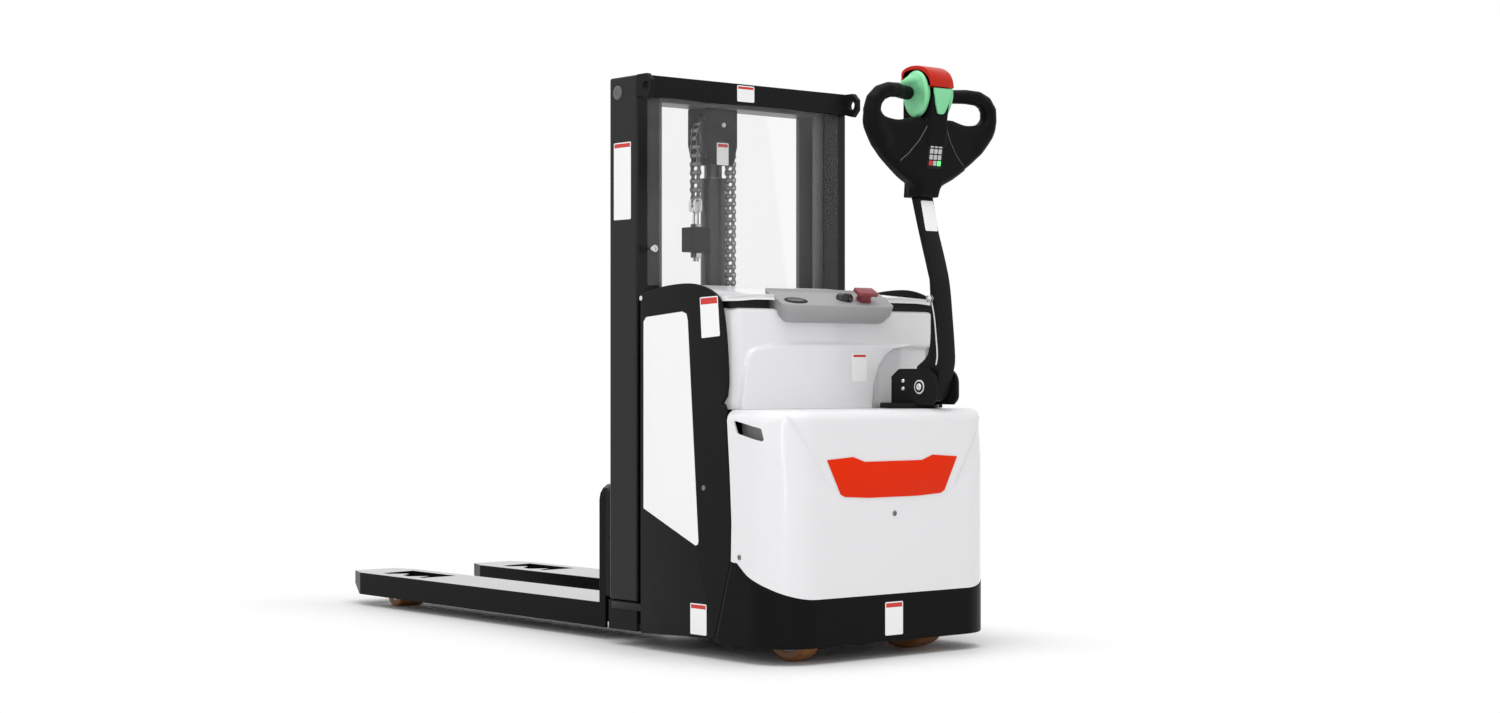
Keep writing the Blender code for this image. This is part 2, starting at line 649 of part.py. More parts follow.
def build_tray(root, mats):
    x0, x1 = TRAY_X
    y0, y1 = TRAY_Y
    high = tray_z(y1) + TRAY_R

    def above(low, high, drop):
        return [(low, tray_z(low) - drop), (high, tray_z(high) - drop), (high, tray_z(high) + TRAY_R),
                (low, tray_z(high) + TRAY_R)]

    tray = add("storage_tray", prism_mesh(rounded_box(x0, x1, y0, y1, TRAY_R), "Z",
                                          TRAY_BOTTOM, high), mats["grey"], root)
    cut(tray, prism_mesh(above(y0 - TRAY_WALL, y1 + TRAY_WALL, 0.0), "X", x0 - TRAY_WALL,
                         x1 + TRAY_WALL))
    cut(tray, prism_mesh(above(y0 + TRAY_WALL, y1 - TRAY_WALL, TRAY_DISH), "X", x0 + TRAY_WALL,
                         x1 - TRAY_WALL))
    cut(tray, rod_mesh("Z", ESTOP_X, ESTOP_Y, ESTOP_STEM_R + RUN, TRAY_BOTTOM - TRAY_WALL, high, 20))
    cut(tray, rod_mesh("Z", KEY_X, KEY_Y, KEY_R + RUN, TRAY_BOTTOM - TRAY_WALL, high, 20))

    push = empty("estop_axis", (ESTOP_X, ESTOP_Y, ESTOP_TOP), root)
    half_w, half_d, height = ESTOP_GRIP
    knob = add("estop_knob", rod_mesh("Z", ESTOP_X, ESTOP_Y, ESTOP_STEM_R, TRAY_BOTTOM + CONTROL_DROP,
                                      ESTOP_TOP - height / 2, 20), mats["dark_red"], push)
    grip = rounded_box(ESTOP_X - half_w, ESTOP_X + half_w, ESTOP_Y - half_d, ESTOP_Y + half_d,
                       ESTOP_R)
    join(knob, prism_mesh(grip, "Z", ESTOP_TOP - height, ESTOP_TOP))

    floor = tray_z(KEY_Y) - TRAY_DISH
    turn = empty("key_axis", (KEY_X, KEY_Y, floor), root)
    key = add("key_switch", rod_mesh("Z", KEY_X, KEY_Y, KEY_R, TRAY_BOTTOM + CONTROL_DROP,
                                     floor + KEY_COLLAR, 20), mats["rubber"], turn)
    half_w, half_t, height = KEY_GRIP
    join(key, box_mesh((KEY_X - half_w, KEY_X + half_w), (KEY_Y - half_t, KEY_Y + half_t),
                       (floor, floor + height)))


def build_inside(root, mats):
    wide = HALF_W - PANEL_T - BATTERY_PLAY
    front = LID_FRONT_Y - LID_OVERHANG
    battery = add("battery", box_mesh((-wide, wide), (BULKHEAD_Y + BULKHEAD_T + GAP, front),
                                      (FLOOR_TOP + GAP, BATTERY_TOP)), mats["rubber"], root)
    for k in (-1, 0, 1):
        cut(battery, box_mesh((k * wide / 2 - CELL_GROOVE / 2, k * wide / 2 + CELL_GROOVE / 2),
                              (BULKHEAD_Y, front + CELL_GROOVE),
                              (BATTERY_TOP - 2 * CELL_GROOVE, BATTERY_TOP + CELL_GROOVE)))
    deck = DECK_TOP + GAP
    pump = add("hydraulic_power_unit", box_mesh(PUMP_X, PUMP_Y, (deck, deck + PUMP_TANK_H)),
               mats["rubber"], root)
    join(pump, rod_mesh("Z", sum(PUMP_X) / 2, sum(PUMP_Y) / 2, PUMP_MOTOR_R,
                        deck + PUMP_TANK_H - FIN_W, deck + PUMP_TANK_H + PUMP_MOTOR_H))
    top = deck + CONTROLLER_H
    controller = add("motor_controller", box_mesh(CONTROLLER_X, CONTROLLER_Y, (deck, top)),
                     mats["zinc"], root)
    pitch = (CONTROLLER_Y[1] - CONTROLLER_Y[0]) / FIN_COUNT
    for k in range(1, FIN_COUNT):
        y = CONTROLLER_Y[0] + pitch * k
        cut(controller, box_mesh((CONTROLLER_X[0] - FIN_W, CONTROLLER_X[1] + FIN_W),
                                 (y - FIN_W / 2, y + FIN_W / 2), (top - FIN_DEPTH, top + FIN_W)))


# Mast and lift gear

def build_outer_mast(root, mats):
    inner = MAST_HALF_W - RAIL_W
    web = MAST_HALF_W - RAIL_WEB
    rail = [(inner, 0.0), (MAST_HALF_W, 0.0), (MAST_HALF_W, MAST_D), (inner, MAST_D),
            (inner, MAST_D - RAIL_FLANGE), (web, MAST_D - RAIL_FLANGE), (web, RAIL_FLANGE),
            (inner, RAIL_FLANGE)]
    for side, label in ((-1, "left"), (1, "right")):
        add("outer_mast_" + label, prism_mesh(mirrored(rail, side), "Z", MAST_FOOT_TOP + GAP,
                                              MAST_TOP), mats["black"], root)
    rear = -GAP - CROSSBAR_T
    bar = add("top_crossbar", box_mesh((-MAST_HALF_W, MAST_HALF_W), (rear, -GAP),
                                       (MAST_TOP - CROSSBAR_H, MAST_TOP)), mats["black"], root)
    tip = rear - LUG_REACH
    low = MAST_TOP - LUG_H
    clip = LUG_CLIP
    root_y = rear + CROSSBAR_T / 2
    lug = [(root_y, low + clip / 2), (root_y, MAST_TOP), (tip + clip, MAST_TOP),
           (tip, MAST_TOP - clip), (tip, low + clip), (tip + clip, low)]
    for side in (-1, 1):
        join(bar, prism_mesh(lug, "X", *span(MAST_HALF_W - LUG_T, MAST_HALF_W, side)))
    cut(bar, rod_mesh("X", tip + LUG_REACH / 2, MAST_TOP - LUG_H / 2, LUG_HOLE_R, -2 * MAST_HALF_W,
                      2 * MAST_HALF_W, 16))
    add("mast_screen", box_mesh((-SCREEN_HALF_W, SCREEN_HALF_W), (-GAP - SCREEN_T, -GAP),
                                SCREEN_Z), mats["screen"], root)


def build_inner_mast(lift, mats):
    x0, x1 = INNER_X
    y0, y1 = INNER_Y
    web = x1 - RAIL_WEB
    rail = [(x0, y0), (x1, y0), (x1, y1), (x0, y1), (x0, y1 - RAIL_FLANGE),
            (web, y1 - RAIL_FLANGE), (web, y0 + RAIL_FLANGE), (x0, y0 + RAIL_FLANGE)]
    for side, label in ((-1, "left"), (1, "right")):
        add("inner_mast_" + label, prism_mesh(mirrored(rail, side), "Z", MAST_FOOT_TOP + GAP,
                                              INNER_TOP), mats["black"], lift)
    reach = x0 - GAP
    add("inner_top_bar", box_mesh((-reach, reach), (y0, y1), (INNER_BAR_Z, INNER_TOP)),
        mats["black"], lift)
    add("inner_bottom_tie", box_mesh((-reach, reach), (y0, y0 + RAIL_FLANGE), TIE_Z),
        mats["black"], lift)


def build_lift_gear(root, lift, mats):
    floor = MAST_FOOT_TOP + GAP
    tube = [(0, floor), (CYL_R, floor), (CYL_R, CYL_TOP), (CYL_BORE_R, CYL_TOP),
            (CYL_BORE_R, floor + CYL_FLOOR), (0, floor + CYL_FLOOR)]
    add("lift_cylinder", turned_mesh(tube, "Z", CYL_X, CYL_Y), mats["black"], root)
    low = CYL_TOP + GAP
    gland = [(ROD_R + RUN, low), (GLAND_R, low), (GLAND_R, low + GLAND_H),
             (ROD_R + RUN, low + GLAND_H)]
    add("cylinder_gland", turned_mesh(gland, "Z", CYL_X, CYL_Y), mats["black"], root)

    rod_low = floor + CYL_FLOOR + ROD_PLAY
    head_low = low + GLAND_H + ROD_PLAY
    rod = add("piston_rod", rod_mesh("Z", CYL_X, CYL_Y, ROD_R, rod_low, head_low + ROD_LAP),
              mats["chrome"], lift)
    wide = YOKE_GAP / 2 - GAP
    join(rod, box_mesh((CYL_X - ROD_HEAD_HALF_W, CYL_X + ROD_HEAD_HALF_W),
                       (CYL_Y - wide, CYL_Y + wide), (head_low, head_low + ROD_HEAD_H)))

    top = INNER_BAR_Z - GAP
    low = head_low + ROD_PLAY
    shoulder = low + YOKE_SHOULDER
    for label, (left, right), y in (("rear", YOKE_REAR_X, CYL_Y - YOKE_GAP / 2 - YOKE_T),
                                    ("front", YOKE_FRONT_X, CYL_Y + YOKE_GAP / 2)):
        outline = [(left + YOKE_TAPER, low), (right - YOKE_TAPER, low), (right, shoulder), (right, top),
                   (left, top), (left, shoulder)]
        plate = [(CYL_X + u, v) for u, v in outline]
        obj = add("yoke_plate_" + label, prism_mesh(plate, "Y", y, y + YOKE_T), mats["black"], lift)
        cut(obj, rod_mesh("Y", CYL_X, PULLEY_Z, PIN_R + RUN, y - BEYOND, y + BEYOND, 20))
    add("pulley_pin", rod_mesh("Y", CYL_X, PULLEY_Z, PIN_R, CYL_Y - YOKE_GAP / 2 - YOKE_T,
                               CYL_Y + YOKE_GAP / 2 + YOKE_T, 20), mats["zinc"], lift)

    axle = empty("pulley_axis", (CYL_X, CYL_Y, PULLEY_Z), lift)
    root_r = CHAIN_PITCH_R - CHAIN_T / 2 - GAP
    inside = CHAIN_W / 2 + GAP
    outside = inside + PULLEY_FLANGE
    wheel = [(PIN_R + RUN, -outside), (root_r + PULLEY_OUT, -outside),
             (root_r + PULLEY_OUT, -inside), (root_r, -inside), (root_r, inside),
             (root_r + PULLEY_OUT, inside), (root_r + PULLEY_OUT, outside),
             (PIN_R + RUN, outside)]
    add("chain_pulley", turned_mesh([(r, CYL_Y + h) for r, h in wheel], "Y", CYL_X, PULLEY_Z),
        mats["steel"], axle)


def build_chain(root, lift, carriage, mats):
    left = CYL_X - CHAIN_PITCH_R
    right = CYL_X + CHAIN_PITCH_R
    half = CHAIN_T / 2
    y = (CYL_Y - CHAIN_W / 2, CYL_Y + CHAIN_W / 2)
    top = PULLEY_Z - GAP
    add("fixed_chain_strand", box_mesh((left - half, left + half), y, (CLEVIS_Z[1] + GAP, top)),
        mats["steel"], root)
    add("lifting_chain_strand", box_mesh((right - half, right + half), y,
                                         (CHAIN_LUG_Z[1] + GAP, top)), mats["steel"], carriage)
    wrap = (arc(CYL_X, PULLEY_Z, CHAIN_PITCH_R + half, 0, 180, 14)
            + arc(CYL_X, PULLEY_Z, CHAIN_PITCH_R - half, 180, 0, 14))
    add("pulley_chain_wrap", prism_mesh(wrap, "Y", *y), mats["steel"], lift)

    low, high = ANCHOR_Z
    block = add("chain_anchor_block",
                box_mesh((left - ANCHOR_W / 2, CYL_X - CYL_R - GAP),
                         (CYL_Y - ANCHOR_D / 2, CYL_Y + ANCHOR_D / 2), (low, high)),
                mats["black"], root)
    cut(block, rod_mesh("Z", left, CYL_Y, ANCHOR_BOLT_R + RUN, low - BOLT_END, high + BOLT_END, 16))
    bolt = add("chain_anchor_bolt", rod_mesh("Z", left, CYL_Y, ANCHOR_BOLT_R, low - BOLT_END,
                                             CLEVIS_Z[0] + ANCHOR_BOLT_R, 16), mats["zinc"], root)
    join(bolt, prism_mesh(circle(left, CYL_Y, NUT_R, 6), "Z", low - GAP - NUT_H, low - GAP))
    half_w, half_d = CLEVIS_HALF
    join(bolt, box_mesh((left - half_w, left + half_w), (CYL_Y - half_d, CYL_Y + half_d), CLEVIS_Z))


def build_carriage(carriage, mats):
    rear = FORK_HEEL_Y - FORK_SHANK - GAP - CARRIAGE_T
    front = rear + CARRIAGE_T
    low, high = CARRIAGE_Z
    corner = CARRIAGE_R
    half = CARRIAGE_HALF_W
    plate = ([(half, low)] + arc(half - corner, high - corner, corner, 0, 90, 4)
             + arc(-half + corner, high - corner, corner, 90, 180, 4) + [(-half, low)])
    body = add("fork_carriage", prism_mesh(plate, "Y", rear, front), mats["black"], carriage)
    outer = INNER_X[0] - RAIL_PLAY
    reach = INNER_X[1] - RAIL_WEB - ROLLER_PLAY
    for side in (-1, 1):
        join(body, box_mesh(span(outer - SIDE_PLATE_T, outer, side), (SIDE_PLATE_Y, rear + WELD),
                            (low + SIDE_PLATE_TRIM, high - SIDE_PLATE_TRIM)))
        for z in ROLLER_Z:
            join(body, rod_mesh("X", GUIDE_Y, z, ROLLER_AXLE_R,
                                *span(outer - WELD, reach, side), 16))
    chain_x = CYL_X + CHAIN_PITCH_R
    lug = CHAIN_LUG_HALF_W
    join(body, box_mesh((chain_x - lug, chain_x + lug), (CYL_Y - lug, rear + WELD), CHAIN_LUG_Z))
    start = INNER_X[0] + ROLLER_START
    bore = ROLLER_AXLE_R + RUN
    for side, label in ((-1, "left"), (1, "right")):
        for z, level in zip(ROLLER_Z, ("lower", "upper")):
            axis = empty("guide_axis_" + level + "_" + label, (side * reach, GUIDE_Y, z), carriage)
            lo, hi = span(start, reach, side)
            ring = [(bore, lo), (GUIDE_R, lo), (GUIDE_R, hi), (bore, hi)]
            add("guide_roller_" + level + "_" + label, turned_mesh(ring, "X", GUIDE_Y, z, 24),
                mats["steel"], axis)


def build_fork(carriage, mats, side, label):
    x0 = side * FORK_X - FORK_W / 2
    x1 = side * FORK_X + FORK_W / 2
    heel = FORK_HEEL_Y - FORK_SHANK
    low, high = FORK_Z
    cx, cy = TIP_CUT
    plan = [(x0, heel), (x1, heel), (x1, FORK_TIP_Y - cy), (x1 - cx, FORK_TIP_Y),
            (x0 + cx, FORK_TIP_Y), (x0, FORK_TIP_Y - cy)]
    fork = add(label + "_fork", prism_mesh(plan, "Z", low, high), mats["black"], carriage)
    w = FORK_SIDE
    inner = [(x0 + w, heel - BEYOND), (x1 - w, heel - BEYOND), (x1 - w, FORK_TIP_Y - cy - w),
             (x1 - cx - w, FORK_TIP_Y - FORK_NOSE), (x0 + cx + w, FORK_TIP_Y - FORK_NOSE),
             (x0 + w, FORK_TIP_Y - cy - w)]
    cut(fork, prism_mesh(inner, "Z", low - BEYOND, high - FORK_PLATE))
    toe = [(FORK_TIP_Y + BEYOND, low - BEYOND), (FORK_TIP_Y + BEYOND, low + TOE_RISE),
           (FORK_TIP_Y, low + TOE_RISE), (FORK_TIP_Y - TOE_RUN, low),
           (FORK_TIP_Y - TOE_RUN, low - BEYOND)]
    cut(fork, prism_mesh(toe, "X", x0 - BEYOND, x1 + BEYOND))
    r = CARRIAGE_R
    shank = [(x0, high - FORK_PLATE), (x1, high - FORK_PLATE)]
    if side > 0:
        shank += arc(x1 - r, SHANK_TOP - r, r, 0, 90, 4) + [(x0, SHANK_TOP)]
    else:
        shank += [(x1, SHANK_TOP)] + arc(x0 + r, SHANK_TOP - r, r, 90, 180, 4)
    join(fork, prism_mesh(shank, "Y", heel, FORK_HEEL_Y))
    y0, y1 = SLOT_Y
    outer = side * FORK_X - SLOT_HALF_W
    mid = side * FORK_X - SLOT_HALF_W / 8
    inner_edge = side * FORK_X + SLOT_HALF_W
    step = (y1 - y0) / 4
    slot = [(inner_edge, y0), (inner_edge, y1), (outer, y1 - step * 0.3), (outer, y1 - step * 0.9),
            (mid, y1 - step * 1.4), (outer, y0 + step * 1.8), (outer, y0 + step * 1.2),
            (mid, y0 + step * 0.7), (outer, y0 + step * 0.3), (outer, y0)]
    cut(fork, prism_mesh(slot, "Z", high - 2 * FORK_PLATE, high + FORK_PLATE))


# Drive, castor and tiller

def build_steering(steer, mats):
    low = COVER_TOP + GAP * 2
    top = low + BASE_T
    base = add("tiller_base", rod_mesh("Z", STEER_X, STEER_Y, BASE_R, low, top), mats["black"],
               steer)
    join(base, rod_mesh("Z", STEER_X, STEER_Y, SHAFT_R, MOTOR_TOP + GAP, low + BASE_T / 2, 20))
    foot = low + BASE_T / 3
    cheek = [(CHEEK_Y[1], foot)] + CHEEK_TOP + [(CHEEK_Y[0], foot)]
    near = ARM_W / 2 + ARM_SIDE_PLAY
    for side in (-1, 1):
        x = span(near, near + CHEEK_T, side, STEER_X)
        join(base, prism_mesh(cheek, "X", *x))
    cut(base, rod_mesh("X", PIVOT_Y, PIVOT_Z, PIN_R + RUN, STEER_X - BASE_R, STEER_X + BASE_R, 20))

    ring_low = DECK_TOP + GAP
    spigot = RING_R - RING_SPIGOT
    profile = [(0, ring_low - RING_SPIGOT_H), (spigot, ring_low - RING_SPIGOT_H), (spigot, ring_low),
               (RING_R, ring_low), (RING_R, ring_low + RING_T), (MOTOR_R, ring_low + RING_T),
               (MOTOR_R, MOTOR_TOP - MOTOR_EDGE), (MOTOR_R - MOTOR_EDGE, MOTOR_TOP), (0, MOTOR_TOP)]
    drive = add("drive_unit", turned_mesh(profile, "Z", STEER_X, STEER_Y), mats["rubber"], steer)
    side_in = STEER_X - DRIVE_WHEEL_W / 2 - CASE_PLAY
    top = ring_low - RING_SPIGOT_H / 2
    case = [(STEER_Y - CASE_HALF_D, CASE_Z[1]), (STEER_Y - CASE_FOOT_HALF_D, CASE_Z[0]),
            (STEER_Y + CASE_FOOT_HALF_D, CASE_Z[0]), (STEER_Y + CASE_HALF_D, CASE_Z[1]),
            (STEER_Y + CASE_HALF_D, top), (STEER_Y - CASE_HALF_D, top)]
    join(drive, prism_mesh(case, "X", side_in - CASE_T, side_in))
    join(drive, rod_mesh("X", STEER_Y, DRIVE_WHEEL_R, DRIVE_AXLE_R, side_in - CASE_T / 2,
                         STEER_X + DRIVE_WHEEL_W / 2, 20))
    axle = empty("drive_axle", (STEER_X, STEER_Y, DRIVE_WHEEL_R), steer)
    add("drive_wheel", wheel_mesh(STEER_X, STEER_Y, DRIVE_WHEEL_R, DRIVE_WHEEL_W,
                                  DRIVE_AXLE_R + RUN), mats["amber"], axle)


def wheel_mesh(x, y, radius, width, bore):
    """A tyre with clipped shoulders on a hub that stands out of its rim."""
    half, edge, dish = width / 2, TYRE_EDGE, HUB_DISH
    rim = radius * RIM_SHARE
    profile = [(bore, x - half), (rim - dish, x - half), (rim, x - half + dish),
               (radius - edge * 2, x - half + dish / 2), (radius - edge, x - half),
               (radius, x - half + edge), (radius, x + half - edge), (radius - edge, x + half),
               (radius - edge * 2, x + half - dish / 2), (rim, x + half - dish),
               (rim - dish, x + half), (bore, x + half)]
    return turned_mesh(profile, "X", y, radius, 32)


def build_castor(swivel, mats):
    top = DECK_TOP - DECK_T - GAP
    axle_y = CASTOR_Y - CASTOR_TRAIL
    inner = CASTOR_WHEEL_W / 2 + CASTOR_PLAY
    plate_low = 2 * CASTOR_WHEEL_R + CASTOR_ROOM
    fork = add("castor_fork", rod_mesh("Z", CASTOR_X, CASTOR_Y, CASTOR_PLATE_R, plate_low, top),
               mats["zinc"], swivel)
    wide, narrow = CASTOR_LEG_HALF
    foot = CASTOR_WHEEL_R - CASTOR_AXLE_R
    leg = [(CASTOR_Y - wide, plate_low + WELD), (CASTOR_Y + wide, plate_low + WELD),
           (axle_y + narrow, foot), (axle_y, foot - CASTOR_AXLE_R), (axle_y - narrow, foot)]
    for side in (-1, 1):
        join(fork, prism_mesh(leg, "X", *span(inner, inner + CASTOR_LEG, side, CASTOR_X)))
    reach = inner + CASTOR_LEG / 2
    join(fork, rod_mesh("X", axle_y, CASTOR_WHEEL_R, CASTOR_AXLE_R, CASTOR_X - reach,
                        CASTOR_X + reach, 20))
    axle = empty("castor_axle", (CASTOR_X, axle_y, CASTOR_WHEEL_R), swivel)
    add("castor_wheel", wheel_mesh(CASTOR_X, axle_y, CASTOR_WHEEL_R, CASTOR_WHEEL_W,
                                   CASTOR_AXLE_R + RUN), mats["amber"], axle)


def lean_y(z):
    """The head's middle plane, which leans back from the neck."""
    return NECK_Y - HEAD_LEAN * (z - HEAD_LOW)


def leaned(bm):
    """Lean a shape that was drawn about a vertical middle plane at Y = 0."""
    for vert in bm.verts:
        vert.co.y += lean_y(vert.co.z)
    return bm


def head_outline():
    """Right half of the head, from the neck round the loop to the column."""
    return [(0.032, HEAD_LOW), (0.040, 1.052), (0.058, 1.066), (0.115, 1.100), (0.150, 1.126),
            (0.186, 1.170), (0.202, 1.200), (HEAD_HALF_W, 1.220), (0.201, 1.245),
            (0.188, 1.264), (0.164, 1.278), (0.130, 1.286), (0.098, 1.286), (0.066, 1.280),
            (COLUMN_HALF_W - GAP, 1.272)]


def loop_outline():
    """Hand hole of the head's right half."""
    inner = POCKET_HALF_W - HAND_HOLE_LAP
    return [(inner, 1.199), (0.084, 1.194), (0.102, 1.188), (0.128, 1.190), (0.148, 1.204),
            (0.160, 1.222), (0.158, 1.238), (0.144, 1.252), (0.122, 1.257), (0.096, 1.256),
            (inner, 1.254)]


def drawn_in(line, depth):
    """A copy of an open arched line, moved towards the inside of the arch by a depth."""
    moved = []
    for k in range(len(line)):
        y0, z0 = line[max(k - 1, 0)]
        y1, z1 = line[min(k + 1, len(line) - 1)]
        length = math.hypot(y1 - y0, z1 - z0)
        moved.append((line[k][0] - depth * (z1 - z0) / length,
                      line[k][1] + depth * (y1 - y0) / length))
    return moved


def column_outline():
    """Side view of the column: its crown stays clear of the pressed button."""
    rear = lean_y(COLUMN_Z) - COLUMN_REAR
    (crown, front), notch = CROWN_Y, NOTCH_Z
    step, shoulder, top, brow = (notch + rise for rise in CROWN_RISE)
    return [(rear, COLUMN_Z), (rear - COLUMN_FLARE, notch), (crown, notch),
            (crown + BUTTON_PLAY, step), (crown + COLUMN_FRONT, shoulder), (BUTTON_STEM_Y, top),
            (front - BUTTON_PLAY, brow), (front, step), (lean_y(COLUMN_Z) + COLUMN_FRONT, COLUMN_Z)]


def build_tiller(tilt, mats):
    hub = arc(PIVOT_Y, PIVOT_Z, HUB_R, 205, 350, 8)
    outline = ARM_FRONT + ARM_REAR + hub + [(PIVOT_Y + HUB_R, PIVOT_Z + HUB_FRONT_RISE)]
    half = ARM_W / 2
    arm = add("tiller_arm", prism_mesh(outline, "X", STEER_X - half, STEER_X + half),
              mats["black"], tilt)
    cut(arm, rod_mesh("X", PIVOT_Y, PIVOT_Z, PIN_R + RUN, STEER_X - ARM_W, STEER_X + ARM_W, 20))

    right = [(STEER_X + u, v) for u, v in head_outline()]
    left = [(STEER_X - u, v) for u, v in head_outline()][::-1]
    thick = HEAD_T / 2
    head = add("head_shell", leaned(prism_mesh(right + left, "Y", -thick, thick)),
               mats["charcoal"], tilt)
    axis_y, axis_z = WING_AXIS
    for side in (-1, 1):
        loop = [(STEER_X + side * u, v) for u, v in loop_outline()]
        cut(head, prism_mesh(loop, "Y", -1.0, 0.0))
    cut(head, box_mesh((STEER_X - POCKET_HALF_W, STEER_X + POCKET_HALF_W), (-1.0, 0.0),
                       (POCKET_LOW, 2 * axis_z)))
    bevel = head.modifiers.new("Soft edges", "BEVEL")
    bevel.width = HEAD_BEVEL
    bevel.segments = 2
    bevel.limit_method = "ANGLE"
    bevel.angle_limit = math.radians(50)
    join(head, prism_mesh(column_outline(), "X", STEER_X - COLUMN_HALF_W, STEER_X + COLUMN_HALF_W))
    cut(head, rod_mesh("X", axis_y, axis_z, WING_SHAFT_R + RUN, STEER_X - POCKET_HALF_W,
                       STEER_X + POCKET_HALF_W, 16))
    cut(head, rod_mesh("Z", STEER_X, BUTTON_STEM_Y, BUTTON_STEM_R + RUN,
                       BUTTON_STEM_LOW - BUTTON_TRAVEL - BUTTON_PLAY, 2 * axis_z, 16))

    pad = rounded_box(STEER_X - KEYPAD_HALF_W, STEER_X + KEYPAD_HALF_W, *KEYPAD_Z, KEYPAD_R, 2)
    add("keypad", leaned(prism_mesh(pad, "Y", -thick - GAP - KEYPAD_T, -thick - GAP)),
        mats["rubber"], tilt)

    press = empty("belly_button_axis", (STEER_X, BUTTON_STEM_Y, BUTTON_STEM_LOW), tilt)
    saddle = BUTTON_OUTER + drawn_in(BUTTON_OUTER, BUTTON_T)[::-1]
    button = add("belly_button", prism_mesh(saddle, "X", STEER_X - BUTTON_HALF_W,
                                            STEER_X + BUTTON_HALF_W), mats["red"], press)
    top = max(z for y, z in BUTTON_OUTER)
    join(button, rod_mesh("Z", STEER_X, BUTTON_STEM_Y, BUTTON_STEM_R, BUTTON_STEM_LOW,
                          top - BUTTON_T / 2, 16))

    twist = empty("throttle_axis", (STEER_X, axis_y, axis_z), tilt)
    half_y, half_z = WING_HALF
    wing = [(axis_y + half_y * math.cos(a), axis_z + half_z * math.sin(a))
            for a in (2 * math.pi * k / ROUND for k in range(ROUND))]
    near = COLUMN_HALF_W + WING_PLAY
    throttle = add("throttle_wings", rod_mesh("X", axis_y, axis_z, WING_SHAFT_R,
                                              STEER_X - near - WING_SHAFT_R,
                                              STEER_X + near + WING_SHAFT_R, 16),
                   mats["green"], twist)
    for side in (-1, 1):
        join(throttle, prism_mesh(wing, "X", *span(near, near + WING_T, side, STEER_X)))


def build_pivot(steer, mats):
    reach = ARM_W / 2 + ARM_SIDE_PLAY + CHEEK_T
    pin = add("tiller_pivot_pin", rod_mesh("X", PIVOT_Y, PIVOT_Z, PIN_R, STEER_X - reach - PIN_END,
                                           STEER_X + reach + PIN_END, 20), mats["zinc"], steer)
    for side in (-1, 1):
        x = span(reach + GAP, reach + GAP + WASHER_T, side, STEER_X)
        join(pin, rod_mesh("X", PIVOT_Y, PIVOT_Z, WASHER_R, *x, 20))


def main():
    clear_scene()
    mats = {
        "black": finish("black paint", (0.020, 0.020, 0.022), 0.35),
        "white": finish("white cover", (0.83, 0.83, 0.84), 0.30),
        "grey": finish("grey tray", (0.45, 0.45, 0.46), 0.45),
        "orange": finish("orange badge", (0.79, 0.040, 0.004), 0.40),
        "charcoal": finish("charcoal plastic", (0.022, 0.023, 0.024), 0.55),
        "red": finish("red button", (0.68, 0.030, 0.012), 0.35),
        "dark_red": finish("emergency stop red", (0.26, 0.042, 0.055), 0.40),
        "green": finish("green throttle", (0.16, 0.51, 0.26), 0.40),
        "amber": finish("amber polyurethane", (0.51, 0.19, 0.032), 0.40),
        "zinc": finish("zinc steel", (0.55, 0.55, 0.56), 0.30, 1.0),
        "steel": finish("dark steel", (0.12, 0.12, 0.13), 0.40, 1.0),
        "chrome": finish("chrome rod", (0.75, 0.75, 0.76), 0.08, 1.0),
        "rubber": finish("black plastic", (0.030, 0.030, 0.032), 0.60),
        "screen": finish("clear screen", (0.85, 0.87, 0.88), 0.05),
    }
    origin = empty("truck_origin", (ORIGIN_X, ORIGIN_Y, 0.0), None)
    origin.location = (0.0, 0.0, 0.0)
    build_chassis(origin, mats)
    for side, label in ((-1, "left"), (1, "right")):
        build_leg(origin, mats, side, label)
        build_side_panel(origin, mats, side, label)
    build_rear_body(origin, mats)
    build_console(origin, mats)
    build_tray(origin, mats)
    build_inside(origin, mats)
    build_outer_mast(origin, mats)
    lift = empty("mast_lift_axis", (0.0, GUIDE_Y, MAST_FOOT_TOP), origin)
    carriage = empty("carriage_axis", (0.0, GUIDE_Y, CARRIAGE_Z[0]), lift)
    build_inner_mast(lift, mats)
    build_lift_gear(origin, lift, mats)
    build_chain(origin, lift, carriage, mats)
    build_carriage(carriage, mats)
    for side, label in ((-1, "left"), (1, "right")):
        build_fork(carriage, mats, side, label)
    steer = empty("steering_axis", (STEER_X, STEER_Y, COVER_TOP), origin)
    build_steering(steer, mats)
    build_pivot(steer, mats)
    tilt = empty("tiller_axis", (STEER_X, PIVOT_Y, PIVOT_Z), steer)
    build_tiller(tilt, mats)
    swivel = empty("castor_axis", (CASTOR_X, CASTOR_Y, DECK_TOP - DECK_T), origin)
    build_castor(swivel, mats)


if __name__ == "__main__":
    main()
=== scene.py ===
"""Looks of a pedestrian stacker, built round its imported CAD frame.

Lengths are metres.  Places are given from the truck itself: x from its centre plane to the
right, y from the rear face of the mast towards the fork tips, z from the floor.
"""
import math

